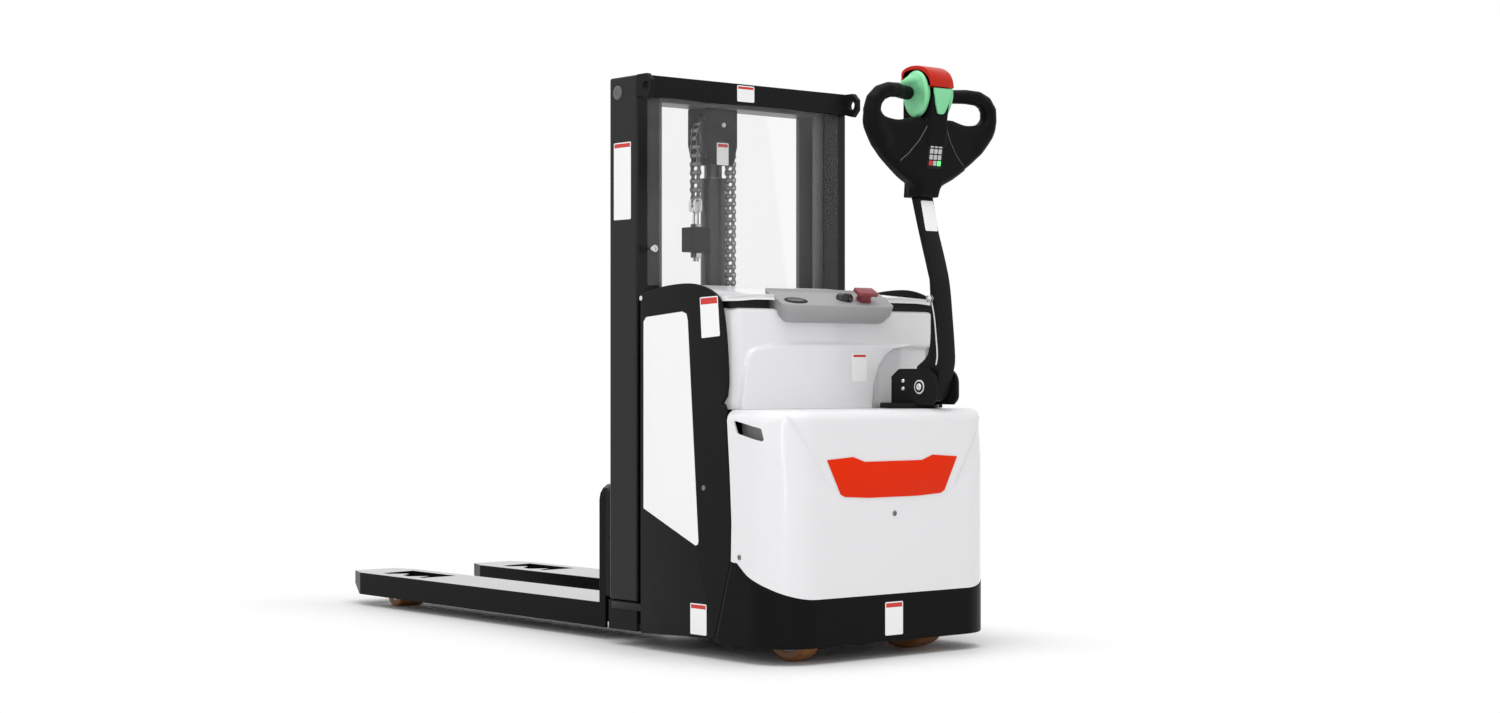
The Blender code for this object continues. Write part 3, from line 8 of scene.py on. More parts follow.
import bmesh
import bpy
import numpy as np
from bpy.props import FloatProperty, FloatVectorProperty, PointerProperty
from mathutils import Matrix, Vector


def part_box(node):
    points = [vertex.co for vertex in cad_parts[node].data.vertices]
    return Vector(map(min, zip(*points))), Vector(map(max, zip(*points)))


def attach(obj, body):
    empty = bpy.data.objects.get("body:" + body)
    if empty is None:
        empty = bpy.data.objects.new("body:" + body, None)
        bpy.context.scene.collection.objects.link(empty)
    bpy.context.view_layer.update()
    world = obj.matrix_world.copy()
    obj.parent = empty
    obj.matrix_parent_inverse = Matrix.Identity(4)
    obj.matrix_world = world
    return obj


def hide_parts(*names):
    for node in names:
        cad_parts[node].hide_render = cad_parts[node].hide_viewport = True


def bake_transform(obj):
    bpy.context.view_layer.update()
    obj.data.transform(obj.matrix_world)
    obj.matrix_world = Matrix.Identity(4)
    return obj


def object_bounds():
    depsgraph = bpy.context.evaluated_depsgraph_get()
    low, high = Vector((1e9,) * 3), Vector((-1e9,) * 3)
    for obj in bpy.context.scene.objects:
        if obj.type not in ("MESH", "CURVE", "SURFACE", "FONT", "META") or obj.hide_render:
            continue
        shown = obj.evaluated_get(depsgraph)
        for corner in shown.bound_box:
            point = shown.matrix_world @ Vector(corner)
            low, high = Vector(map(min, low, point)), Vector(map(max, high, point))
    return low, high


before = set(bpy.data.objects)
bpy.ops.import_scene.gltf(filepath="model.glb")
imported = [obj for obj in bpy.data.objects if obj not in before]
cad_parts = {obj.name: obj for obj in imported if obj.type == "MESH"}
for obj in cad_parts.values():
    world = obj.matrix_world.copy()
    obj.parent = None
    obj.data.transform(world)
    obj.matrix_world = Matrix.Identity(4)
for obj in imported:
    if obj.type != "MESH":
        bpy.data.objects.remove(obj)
CAD_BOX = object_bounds()

bl_info = {
    "name": "Pedestrian stacker",
    "version": (1, 0, 0),
    "blender": (4, 5, 0),
    "location": "3D View > Sidebar > Stacker",
    "description": "Dresses the packed frame of a walk-behind stacker",
    "category": "Object",
}

# Where the truck stands in the frame
LEFT_RAIL, RIGHT_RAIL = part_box("outer_mast_left"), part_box("outer_mast_right")
TRUCK = np.array([(LEFT_RAIL[0].x + RIGHT_RAIL[1].x) / 2, LEFT_RAIL[0].y, 0.0])


def node_box(node):
    """Lowest and highest corner of a CAD node, measured from the truck."""
    low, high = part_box(node)
    return np.array(low) - TRUCK, np.array(high) - TRUCK


SKIRT_LOW, SKIRT_HIGH = node_box("rear_skirt")
COVER_LOW, COVER_HIGH = node_box("rear_cover")
CONSOLE_LOW, CONSOLE_HIGH = node_box("console_cover")
LID_LOW, LID_HIGH = node_box("console_lid")
TRAY_LOW, TRAY_HIGH = node_box("storage_tray")
HEAD_LOW, HEAD_HIGH = node_box("head_shell")
ARM_LOW, ARM_HIGH = node_box("tiller_arm")
BASE_LOW, BASE_HIGH = node_box("tiller_base")
PIN_LOW, PIN_HIGH = node_box("tiller_pivot_pin")
STOP_LOW, STOP_HIGH = node_box("estop_knob")
KEY_LOW, KEY_HIGH = node_box("key_switch")
BUTTON_LOW, _ = node_box("belly_button")
WINGS_LOW, WINGS_HIGH = node_box("throttle_wings")
PAD_LOW, PAD_HIGH = node_box("keypad")

HALF_W = -node_box("left_side_panel")[0][0]
MAST_HALF = RIGHT_RAIL[1].x - TRUCK[0]
TILLER_X = (ARM_LOW[0] + ARM_HIGH[0]) / 2
WING_Y, WING_Z = ((WINGS_LOW + WINGS_HIGH) / 2)[1:]
HEAD_FOOT = HEAD_LOW[2]
HEAD_LEAN = 0.16
NECK_Y = -0.4325


def lean_y(z):
    """The control head's middle plane, which leans back from the neck."""
    return NECK_Y - HEAD_LEAN * (z - HEAD_FOOT)


# Sizes and colours that a user may change

def colour(label, text, rgb):
    return FloatVectorProperty(name=label, description=text, subtype="COLOR", size=3, min=0.0,
                               max=1.0, default=rgb)


def length(label, text, value):
    return FloatProperty(name=label, description=text, unit="LENGTH", precision=4, min=0.0,
                         default=value)


class StackerColours(bpy.types.PropertyGroup):
    black_paint: colour("Black paint", "Powder coat on the frame and panels", (0.0098, 0.0098, 0.0100))
    white_cover: colour("White cover", "Moulded covers", (0.80, 0.80, 0.815))
    white_film: colour("White film", "Inset fields and blank plates", (0.91, 0.91, 0.915))
    grey_tray: colour("Grey tray", "Moulded tray", (0.325, 0.325, 0.332))
    orange_badge: colour("Orange badge", "Bare plate on the rear cover", (0.77, 0.026, 0.0006))
    charcoal: colour("Charcoal", "Moulded control head", (0.0052, 0.0053, 0.0055))
    green: colour("Green", "Throttle wings", (0.22, 0.68, 0.34))
    red: colour("Red", "Reversing button", (0.46, 0.014, 0.003))
    dark_red: colour("Dark red", "Emergency stop", (0.25, 0.036, 0.048))
    amber: colour("Amber", "Polyurethane tyres", (0.235, 0.092, 0.022))
    band: colour("Band", "Plain band on the blank plates", (0.60, 0.022, 0.016))


class StackerSizes(bpy.types.PropertyGroup):
    edge: length("Edge", "Rounding of folded and welded steel", 0.0025)
    rail_edge: length("Rail edge", "Rounding of the rolled mast rails", 0.005)
    cover_wall: length("Cover wall", "Thickness of the moulded covers", 0.004)
    cover_edge: length("Cover edge", "Rounding along the top of the rear cover", 0.026)
    chain_pitch: length("Chain pitch", "Pin to pin along the lift chain", 0.01905)
    plate_thickness: length("Blank plate", "Thickness of the blank plates", 0.0006)
    skin_step: length("Skin step", "Cell size of the control head's skin", 0.0019)


class StackerStage(bpy.types.PropertyGroup):
    lens: FloatProperty(name="Lens", description="Focal length of the camera", default=57.28)
    camera_height: length("Camera height", "Height of the lens above the floor", 0.63)
    turn: FloatProperty(name="Turn", description="Heading of the camera from straight ahead",
                        subtype="ANGLE", default=math.radians(-40.0))
    floor: colour("Floor", "Pale studio floor", (0.93, 0.93, 0.93))
    ambient: FloatProperty(name="Ambient", description="Strength of the room light", default=0.62)


def sizes():
    return bpy.context.scene.stacker_sizes


def colours():
    return bpy.context.scene.stacker_colours


def stage():
    return bpy.context.scene.stacker_stage


# Finishes

def put(tree, target, values):
    """Fills a node's inputs: an output is linked to its input, anything else becomes its value."""
    for key, value in values.items():
        if isinstance(value, bpy.types.NodeSocket):
            tree.links.new(value, target.inputs[key])
        else:
            target.inputs[key].default_value = value


def node(tree, kind, inputs=None, **settings):
    """A new shader node with its settings and its inputs."""
    made = tree.nodes.new("ShaderNode" + kind)
    for label, value in settings.items():
        setattr(made, label, value)
    put(tree, made, inputs or {})
    return made


def surface_detail_group():
    """Grain and clouding shared by the paints and plastics.

    A low noise darkens and lightens the colour and moves the roughness, and a fine noise gives
    the height of the grain."""
    name = "Surface detail"
    if name in bpy.data.node_groups:
        return bpy.data.node_groups[name]
    group = bpy.data.node_groups.new(name, "ShaderNodeTree")
    inputs = {"Vector": "Vector", "Colour": "Color"}
    inputs.update(dict.fromkeys(("Shade", "Roughness", "Spread", "Cloud scale", "Grain scale"), "Float"))
    outputs = {"Colour": "Color", "Roughness": "Float", "Height": "Float"}
    for way, sockets in (("INPUT", inputs), ("OUTPUT", outputs)):
        for label, kind in sockets.items():
            group.interface.new_socket(label, in_out=way, socket_type="NodeSocket" + kind)
    given = group.nodes.new("NodeGroupInput").outputs
    cloud, grain = (node(group, "TexNoise", {"Vector": given["Vector"], "Scale": given[scale],
                                             "Detail": detail})
                    for scale, detail in (("Cloud scale", 3.0), ("Grain scale", 4.0)))
    centred = node(group, "Math", {0: cloud.outputs["Fac"], 1: 0.5}, operation="SUBTRACT").outputs[0]
    gain = node(group, "Math", {0: centred, 1: given["Shade"], 2: 1.0}, operation="MULTIPLY_ADD")
    tint = node(group, "VectorMath", {0: given["Colour"], "Scale": gain.outputs[0]}, operation="SCALE")
    rough = node(group, "Math", {0: centred, 1: given["Spread"], 2: given["Roughness"]},
                 operation="MULTIPLY_ADD")
    put(group, group.nodes.new("NodeGroupOutput"),
        {"Colour": tint.outputs[0], "Roughness": rough.outputs[0], "Height": grain.outputs["Fac"]})
    return group


def surface(name, rgb, roughness, shade, spread, cloud, grain, bump, stretch=(1.0, 1.0, 1.0),
            **sockets):
    """A material with the shared surface detail; other values go to the shader's sockets."""
    if name in bpy.data.materials:
        return bpy.data.materials[name]
    mat = bpy.data.materials.new(name)
    mat.use_nodes = True
    tree = mat.node_tree
    place = node(tree, "TexCoord")
    mapping = node(tree, "Mapping", {"Vector": place.outputs["Object"], "Scale": stretch})
    detail = node(tree, "Group", node_tree=surface_detail_group())
    put(tree, detail, {"Vector": mapping.outputs["Vector"], "Colour": (*rgb, 1.0), "Shade": shade,
                       "Roughness": roughness, "Spread": spread, "Cloud scale": cloud,
                       "Grain scale": grain})
    height = node(tree, "Bump", {"Strength": bump, "Distance": 0.001, "Height": detail.outputs["Height"]})
    values = {"Base Color": detail.outputs["Colour"], "Roughness": detail.outputs["Roughness"],
              "Normal": height.outputs["Normal"]}
    for label, value in sockets.items():
        values[label.replace("_", " ").title().replace("Ior", "IOR")] = value
    put(tree, tree.nodes["Principled BSDF"], values)
    return mat


def finish(name, rgb, *values, **sockets):
    """A maker of the named material; a word in place of a colour is one of the user's colours."""
    def make():
        tone = getattr(colours(), rgb) if isinstance(rgb, str) else rgb
        return surface(name, tone, *values, **sockets)
    return make


# Each finish: colour, roughness, shade, spread, cloud scale, grain scale, bump
black_paint = finish("black paint", "black_paint", 0.34, 0.14, 0.10, 7.0, 520.0, 0.10,
                     specular_ior_level=0.07)
mast_paint = finish("mast paint", (0.0060, 0.0060, 0.0063), 0.26, 0.16, 0.08, 6.0, 480.0, 0.05,
                    specular_ior_level=0.22)
skirt_paint = finish("skirt paint", (0.0062, 0.0062, 0.0062), 0.36, 0.14, 0.10, 7.0, 520.0, 0.10,
                     specular_ior_level=0.05)
bare_fork_paint = finish("fork paint", (0.0052, 0.0052, 0.0054), 0.30, 0.16, 0.10, 5.0, 420.0, 0.04,
                         specular_ior_level=0.05, coat_roughness=0.14, coat_ior=1.54)
# light grey for the inner rails: their paint, lightened to paint the reflection of the clear screen in
# front of them
rail_paint_with_screen_reflection = finish("rail paint with painted screen reflection", (0.115, 0.115, 0.118), 0.36, 0.40, 0.03, 6.0, 300.0, 0.0,
                    (6.0, 6.0, 0.35), specular_ior_level=0.30)
gloss_black = finish("gloss black", (0.0085, 0.0085, 0.0088), 0.22, 0.12, 0.04, 8.0, 500.0, 0.0,
                     specular_ior_level=0.50)
white_cover = finish("white cover", "white_cover", 0.24, 0.02, 0.06, 4.0, 260.0, 0.022,
                     coat_weight=0.25, coat_roughness=0.08)
white_film = finish("white film", "white_film", 0.40, 0.02, 0.05, 6.0, 700.0, 0.02)
band_film = finish("band film", "band", 0.40, 0.05, 0.05, 30.0, 700.0, 0.02)
grey_tray = finish("grey tray", "grey_tray", 0.46, 0.05, 0.08, 14.0, 900.0, 0.10)
# dark grey that paints the shade on the finger slot's floor and a highlight along the head's seams
painted_shade_and_highlight_grey = finish("painted shade and highlight grey", (0.11, 0.11, 0.115), 0.50, 0.06, 0.08, 30.0, 900.0, 0.04)
key_grey = finish("key grey", (0.52, 0.52, 0.51), 0.45, 0.08, 0.06, 60.0, 900.0, 0.03)
orange_badge = finish("orange badge", "orange_badge", 0.36, 0.05, 0.06, 12.0, 500.0, 0.03,
                      specular_ior_level=0.08)
charcoal_plastic = finish("charcoal plastic", "charcoal", 0.44, 0.16, 0.10, 24.0, 1100.0, 0.14,
                          specular_ior_level=0.06)
black_plastic = finish("black plastic", (0.008, 0.008, 0.0085), 0.50, 0.15, 0.10, 20.0, 800.0, 0.10,
                       specular_ior_level=0.15)
green_plastic = finish("green plastic", "green", 0.42, 0.06, 0.08, 30.0, 900.0, 0.06)
red_plastic = finish("red plastic", "red", 0.32, 0.05, 0.08, 30.0, 900.0, 0.05,
                     specular_ior_level=0.16)
dark_red_plastic = finish("dark red plastic", "dark_red", 0.42, 0.08, 0.08, 40.0, 900.0, 0.08)
amber_polyurethane = finish("amber polyurethane", "amber", 0.38, 0.22, 0.16, 40.0, 300.0, 0.06)
zinc_steel = finish("zinc steel", (0.72, 0.72, 0.71), 0.22, 0.18, 0.16, 90.0, 900.0, 0.05, metallic=1.0)
dark_steel = finish("dark steel", (0.20, 0.20, 0.205), 0.32, 0.35, 0.16, 60.0, 700.0, 0.10, metallic=0.9)
chromed_rod = finish("chromed rod", (0.70, 0.70, 0.71), 0.10, 0.03, 0.05, 20.0, 500.0, 0.01,
                     (1.0, 1.0, 14.0), metallic=1.0)
bare_screen = finish("clear screen", (0.38, 0.385, 0.385), 0.07, 0.02, 0.05, 5.0, 300.0, 0.0, ior=1.49)
# green key: its emission is a painted glow
green_key_painted_glow = finish("green key painted glow", (0.10, 0.72, 0.16), 0.35, 0.05, 0.05, 60.0, 900.0, 0.0,
                    emission_strength=1.2, emission_color=(0.10, 0.9, 0.2, 1))


def fork_paint():
    """Black paint that loads have polished on the faces that look up."""
    mat = bare_fork_paint()
    tree = mat.node_tree
    if "Upward" not in tree.nodes:
        parts = node(tree, "SeparateXYZ", {0: node(tree, "NewGeometry").outputs["Normal"]})
        upward = node(tree, "MapRange", {"From Min": 0.6, "Value": parts.outputs["Z"]}, name="Upward")
        put(tree, tree.nodes["Principled BSDF"], {"Coat Weight": upward.outputs["Result"]})
    return mat


def clear_screen():
    """Clear sheet: mostly see-through, with a faint grey tint that is thicker on one side of a
    slanting line, where it is a painted reflection.
    """
    mat = bare_screen()
    tree = mat.node_tree
    if "Haze" not in tree.nodes:
        place = tree.nodes["Texture Coordinate"].outputs["Object"]
        # the grey tint over the sheet is thicker on one side of a slanting line: there it is a painted
        # reflection
        slant = node(tree, "VectorMath", {0: place, 1: (1.0, 0.0, 0.162)}, operation="DOT_PRODUCT")
        tint_and_painted_reflection = node(tree, "MapRange", {"Value": slant.outputs["Value"], "From Min": 0.240,
                                       "From Max": 0.258, "To Min": 0.085, "To Max": 0.045},
                    name="Haze", interpolation_type="SMOOTHSTEP")
        put(tree, tree.nodes["Principled BSDF"], {"Alpha": tint_and_painted_reflection.outputs["Result"]})
    return mat


# Surfaces worked out as arrays

def grid_quads(rows, columns, wrap):
    """Quads of a grid of points; with wrap the last column meets the first."""
    r = np.arange(rows - 1)[:, None]
    c = np.arange(columns if wrap else columns - 1)[None, :]
    d = (c + 1) % columns
    quads = [r * columns + c, r * columns + d, (r + 1) * columns + d, (r + 1) * columns + c]
    return np.stack(np.broadcast_arrays(*quads), -1).reshape(-1, 4)


def loft(rings, wrap=True, low_cap=True, high_cap=True):
    """Skin over rings of points, each ring being one row, with flat caps where asked."""
    rings = np.asarray(rings, float)
    rows, columns = rings.shape[:2]
    faces = grid_quads(rows, columns, wrap).tolist()
    ring = np.arange(columns)
    if low_cap:
        faces.append(ring[::-1].tolist())
    if high_cap:
        faces.append((ring + (rows - 1) * columns).tolist())
    return rings.reshape(-1, 3), faces


def on_axis(u, v, h, axis):
    """Points from two outline coordinates and a height along the named axis."""
    order = {"X": (h, u, v), "Y": (u, h, v), "Z": (u, v, h)}[axis]
    return np.stack(np.broadcast_arrays(*order), -1)


def rounded(corners, radius, steps=5):
    """Closed outline: each corner becomes an arc that leaves its two sides square on.

    The arc's points turn evenly from one tangent point to the other about its centre."""
    p = np.asarray(corners, float)
    r = np.broadcast_to(np.asarray(radius, float), len(p))
    a, b = np.roll(p, 1, 0) - p, np.roll(p, -1, 0) - p
    la, lb = np.linalg.norm(a, axis=1), np.linalg.norm(b, axis=1)
    a, b = a / la[:, None], b / lb[:, None]
    half = np.arccos(np.clip((a * b).sum(1), -1.0, 1.0)) / 2
    reach = np.minimum(r / np.tan(half), 0.48 * np.minimum(la, lb))
    middle = a + b
    middle /= np.maximum(np.linalg.norm(middle, axis=1), 1e-9)[:, None]
    centre = p + middle * (reach / np.cos(half))[:, None]
    u, v = p + a * reach[:, None] - centre, p + b * reach[:, None] - centre
    turn = np.maximum(math.pi - 2 * half, 1e-4)[:, None, None]
    t = np.linspace(0.0, 1.0, steps + 1)[None, :, None]
    arc = (np.sin((1 - t) * turn) * u[:, None] + np.sin(t * turn) * v[:, None]) / np.sin(turn)
    return (centre[:, None] + arc).reshape(-1, 2)


def smooth_line(points, steps):
    """A Catmull-Rom curve through the points."""
    p = np.asarray(points, float)
    p = np.vstack([2 * p[0] - p[1], p, 2 * p[-1] - p[-2]])
    t = np.linspace(0.0, 1.0, steps, endpoint=False)[None, :, None]
    p0, p1, p2, p3 = (p[k:len(p) - 3 + k, None] for k in range(4))
    curve = 0.5 * (2 * p1 + (p2 - p0) * t + (2 * p0 - 5 * p1 + 4 * p2 - p3) * t ** 2
                   + (3 * p1 - p0 - 3 * p2 + p3) * t ** 3)
    return np.vstack([curve.reshape(-1, p.shape[1]), p[-2]])


def drawn_in(outline, depth):
    """A closed outline moved inwards along its corner bisectors by a depth."""
    p = np.asarray(outline, float)
    step = np.roll(p, -1, 0) - p
    step /= np.maximum(np.linalg.norm(step, axis=1), 1e-9)[:, None]
    normal = np.stack([-step[:, 1], step[:, 0]], 1)
    before = np.roll(normal, 1, 0)
    share = np.maximum(1.0 + (normal * before).sum(1), 0.3)
    area = (p[:, 0] * np.roll(p[:, 1], -1) - np.roll(p[:, 0], -1) * p[:, 1]).sum()
    return p + math.copysign(1.0, area) * depth * (normal + before) / share[:, None]


def box_line(u0, u1, v0, v1):
    """Corners of a box in two coordinates."""
    return [(u0, v0), (u1, v0), (u1, v1), (u0, v1)]


def hexagon(centre, radius):
    """Corners of a hexagon, the first one along the first coordinate."""
    a = np.arange(6) * math.pi / 3
    return np.stack([centre[0] + radius * np.cos(a), centre[1] + radius * np.sin(a)], 1)


def quarter(count):
    """Even angles over a quarter turn."""
    return np.linspace(0.0, math.pi / 2, count)


def full_turn(count):
    """Even angles round a full turn, without the last."""
    return np.linspace(0.0, 2 * math.pi, count, endpoint=False)


def span(side, near, far, about=0.0):
    """Lower and upper of two distances from a middle, on the side of the sign."""
    return sorted((about + side * near, about + side * far))


def mirrored(half, low, high):
    """Profile of radius and place from its half: depths count up from low and down from high."""
    return [(r, low + d) for r, d in half] + [(r, high - d) for r, d in half[::-1]]


def rod(radius, low, high):
    """Profile of a plain round bar."""
    return mirrored([(0, 0.0), (radius, 0.0)], low, high)


def slab(outline, low, high, edge, axis, steps=3):
    """An outline carried through a thickness.

    Near each end it draws in by edge * (1 - sin a) while it rises by edge * (1 - cos a)."""
    a = quarter(steps + 1)
    inset = edge * (1 - np.sin(a))
    rise = edge * (1 - np.cos(a))
    rows = [(i, low + h) for i, h in zip(inset, rise)]
    rows += [(i, high - h) for i, h in zip(inset[::-1], rise[::-1])]
    rings = []
    for depth, height in rows:
        line = drawn_in(outline, depth)
        rings.append(on_axis(line[:, 0], line[:, 1], height, axis))
    return loft(rings)


def turned(profile, axis, centre, sides=40, caps=True):
    """A profile of radius and height turned about an axis through a centre of two coordinates."""
    p = np.asarray(profile, float)
    a = full_turn(sides)
    u = centre[0] + p[:, :1] * np.cos(a)
    v = centre[1] + p[:, :1] * np.sin(a)
    return loft(on_axis(u, v, p[:, 1:], axis), True, caps, caps)


def turned_ring(profile, centre, sides, axis="X"):
    """A closed profile of radius and place along an axis, turned about it: a ring with no poles."""
    return turned([*profile, profile[0]], axis, centre, sides, False)


def fastener(place, axis, sign, radius, height):
    """A domed screw head with a socket, turned about an axis and facing the way of its sign."""
    across = {"X": (1, 2), "Y": (0, 2), "Z": (0, 1)}[axis]
    base = place["XYZ".index(axis)]
    profile = np.array([(0.0, 0.45), (0.42, 0.45), (0.48, 1.0), (0.80, 0.92), (0.96, 0.60), (1.0, 0.30),
                        (1.0, -0.15), (0.0, -0.15)]) * (radius, sign * height)
    return turned(profile + (0.0, base), axis, [place[k] for k in across], 24)


def sweep(section, path, up):
    """A section carried along a path: its first coordinate goes sideways, its second along up."""
    path = np.asarray(path, float)
    section = np.asarray(section, float)
    along = np.gradient(path, axis=0)
    along /= np.linalg.norm(along, axis=1)[:, None]
    side = np.cross(along, np.asarray(up, float))
    side /= np.linalg.norm(side, axis=1)[:, None]
    rise = np.cross(side, along)
    rings = (path[:, None] + section[None, :, :1] * side[:, None]
             + section[None, :, 1:2] * rise[:, None])
    return loft(rings)


def ring_section(radius, sides=12):
    a = full_turn(sides)
    return np.stack([radius * np.cos(a), radius * np.sin(a)], 1)


def repeated(part, shifts):
    """The same points and faces at several shifts."""
    points, faces = part
    shifts = np.asarray(shifts, float).reshape(-1, 3)
    count = len(points)
    moved = (points[None] + shifts[:, None]).reshape(-1, 3)
    return moved, [[k + n * count for k in face] for n in range(len(shifts)) for face in faces]


def merged(*parts):
    """Several parts as one list of points and faces."""
    points, faces, start = [], [], 0
    for p, f in parts:
        points.append(np.asarray(p, float).reshape(-1, 3))
        faces += [[k + start for k in face] for face in f]
        start += len(points[-1])
    return np.concatenate(points), faces


def smooth_step(t):
    """Rises from 0 to 1 as t goes from 0 to 1, level at both ends."""
    t = np.clip(t, 0.0, 1.0)
    return t * t * (3 - 2 * t)


def smooth_min(a, b, width):
    """The lesser of two fields, with a fillet about as wide as width."""
    h = np.clip(0.5 + 0.5 * (b - a) / width, 0.0, 1.0)
    return b * (1 - h) + a * h - width * h * (1 - h)


def outline_distance(u, v, outline):
    """Signed distance to a closed outline, negative inside."""
    p = np.asarray(outline, float)
    best = np.full(u.shape, np.inf)
    inside = np.zeros(u.shape, bool)
    for (au, av), (bu, bv) in zip(p, np.roll(p, -1, 0)):
        du, dv = bu - au, bv - av
        t = np.clip(((u - au) * du + (v - av) * dv) / (du * du + dv * dv), 0.0, 1.0)
        best = np.minimum(best, (u - au - t * du) ** 2 + (v - av - t * dv) ** 2)
        if av != bv:
            crossing = (av > v) != (bv > v)
            inside ^= crossing & (u < au + (v - av) * du / dv)
    best = np.sqrt(best)
    return np.where(inside, -best, best)


def tube_distance(x, y, z, path, radii):
    """Distance to a round rod along a path whose radius changes evenly between points."""
    best = np.full(x.shape, np.inf)
    for p, q, r, s in zip(path[:-1], path[1:], radii[:-1], radii[1:]):
        d = np.subtract(q, p)
        t = ((x - p[0]) * d[0] + (y - p[1]) * d[1] + (z - p[2]) * d[2]) / (d @ d)
        t = np.clip(t, 0.0, 1.0)
        away = np.sqrt((x - p[0] - t * d[0]) ** 2 + (y - p[1] - t * d[1]) ** 2
                       + (z - p[2] - t * d[2]) ** 2)
        best = np.minimum(best, away - r - t * (s - r))
    return best


def thick_outline(edge, across, fillet):
    """Distance to an outline given thickness: edge and across are signed distances, and the rim
    is rounded with a fillet."""
    a, b = edge + fillet, across + fillet
    return np.hypot(np.maximum(a, 0), np.maximum(b, 0)) + np.minimum(np.maximum(a, b), 0) - fillet


def skin(field, low, high, step):
    """Surface where a field of space is zero.

    The space is cut into cells; each cell that the surface crosses gets one point, the mean of
    the crossings on its edges, and each crossed edge joins its four cells in a quad."""
    axes = [np.arange(a - 2 * step, b + 3 * step, step) for a, b in zip(low, high)]
    value = field(*np.meshgrid(*axes, indexing="ij"))
    inner = value < 0
    cells = np.array(value.shape) - 1
    total, count = np.zeros((*cells, 3)), np.zeros(cells)
    for axis in range(3):
        for shift in range(4):
            start = [0, 0, 0]
            start[(axis + 1) % 3], start[(axis + 2) % 3] = shift & 1, shift >> 1
            end = list(start)
            end[axis] = 1
            a = value[tuple(slice(s, s + n) for s, n in zip(start, cells))]
            b = value[tuple(slice(s, s + n) for s, n in zip(end, cells))]
            crossed = (a < 0) != (b < 0)
            t = np.where(crossed, a / np.where(crossed, a - b, 1.0), 0.0)
            count += crossed
            for k in range(3):
                total[..., k] += crossed * (start[k] + (t if k == axis else 0.0))
    used = count > 0
    index = np.full(cells, -1)
    index[used] = np.arange(used.sum())
    origin = np.array([a[0] for a in axes])
    points = origin + step * (np.argwhere(used) + total[used] / count[used][:, None])
    faces = []
    for axis in range(3):
        b, c = np.eye(3, dtype=int)[(axis + 1) % 3], np.eye(3, dtype=int)[(axis + 2) % 3]
        ahead = np.moveaxis(np.moveaxis(inner, axis, 0)[1:], 0, axis)
        behind = np.moveaxis(np.moveaxis(inner, axis, 0)[:-1], 0, axis)
        edge = np.argwhere(ahead != behind)
        edge = edge[(edge @ (b + c) > 0) & (edge @ b > 0) & (edge @ c > 0)
                    & (edge @ b < cells @ b) & (edge @ c < cells @ c)]
        quad = np.stack([index[tuple((edge - b - c).T)], index[tuple((edge - c).T)],
                         index[tuple(edge.T)], index[tuple((edge - b).T)]], 1)
        out = behind[tuple(edge.T)]
        faces.append(np.where(out[:, None], quad, quad[:, ::-1]))
    return points, np.concatenate(faces).tolist()


# Pieces

# Edges that turn by more degrees than this stay sharp, on skins of a field only harder ones
SHARP, SKIN_SHARP = 35.0, 80.0


def placed(name, data):
    """A new object in the scene."""
    obj = bpy.data.objects.new(name, data)
    bpy.context.scene.collection.objects.link(obj)
    return obj


def shade(mesh, sharp=SHARP):
    """Smooth faces, with edges kept sharp from an angle on."""
    mesh.polygons.foreach_set("use_smooth", np.ones(len(mesh.polygons), bool))
    mesh.set_sharp_from_angle(angle=math.radians(sharp))


def mesh_object(name, parts, sharp=SHARP):
    """A mesh object from parts of (points, faces, finish); doubles are merged and the faces turned
    outwards."""
    points, faces = merged(*[(p, f) for p, f, _ in parts])
    finishes = list(dict.fromkeys(make for _, _, make in parts))
    numbers = np.concatenate([np.full(len(f), finishes.index(make)) for _, f, make in parts])
    mesh = bpy.data.meshes.new(name)
    mesh.from_pydata((points + TRUCK).tolist(), [], faces)
    mesh.polygons.foreach_set("material_index", numbers.astype(np.int32))
    bm = bmesh.new()
    bm.from_mesh(mesh)
    bmesh.ops.remove_doubles(bm, verts=bm.verts, dist=1e-6)
    bmesh.ops.dissolve_degenerate(bm, edges=bm.edges, dist=1e-7)
    bmesh.ops.recalc_face_normals(bm, faces=bm.faces)
    bm.to_mesh(mesh)
    bm.free()
    for make in finishes:
        mesh.materials.append(make())
    shade(mesh, sharp)
    return placed(name, mesh)


def piece(name, parts, body, replaces=(), sharp=SHARP):
    """A finished piece that rides on a body and may stand for CAD nodes."""
    obj = mesh_object(name, parts, sharp)
    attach(obj, body)
    if replaces:
        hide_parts(*replaces)
    return obj


def thicken(obj, wall):
    """Gives an open skin its wall, inwards from the face that shows."""
    solid = obj.modifiers.new("Wall", "SOLIDIFY")
    solid.thickness = wall
    solid.offset = -1.0


def carve(obj, parts):
    """Cuts parts out of a piece and keeps the result in its mesh."""
    cutter = mesh_object("cutter", parts)
    cutting = obj.modifiers.new("Cut", "BOOLEAN")
    cutting.operation = "DIFFERENCE"
    cutting.solver = "EXACT"
    cutting.object = cutter
    bpy.context.view_layer.update()
    result = bpy.data.meshes.new_from_object(obj.evaluated_get(
        bpy.context.evaluated_depsgraph_get()))
    obj.modifiers.clear()
    old, name = obj.data, obj.data.name
    obj.data = result
    for mesh in (old, cutter.data):
        bpy.data.meshes.remove(mesh)
    result.name = name
    shade(result)


class Step:
    """Makes the named parts of a step in their order."""
    makes = ()

    def execute(self, context):
        for name in self.makes:
            getattr(self, name)()
        return {"FINISHED"}


# The frame's own solids

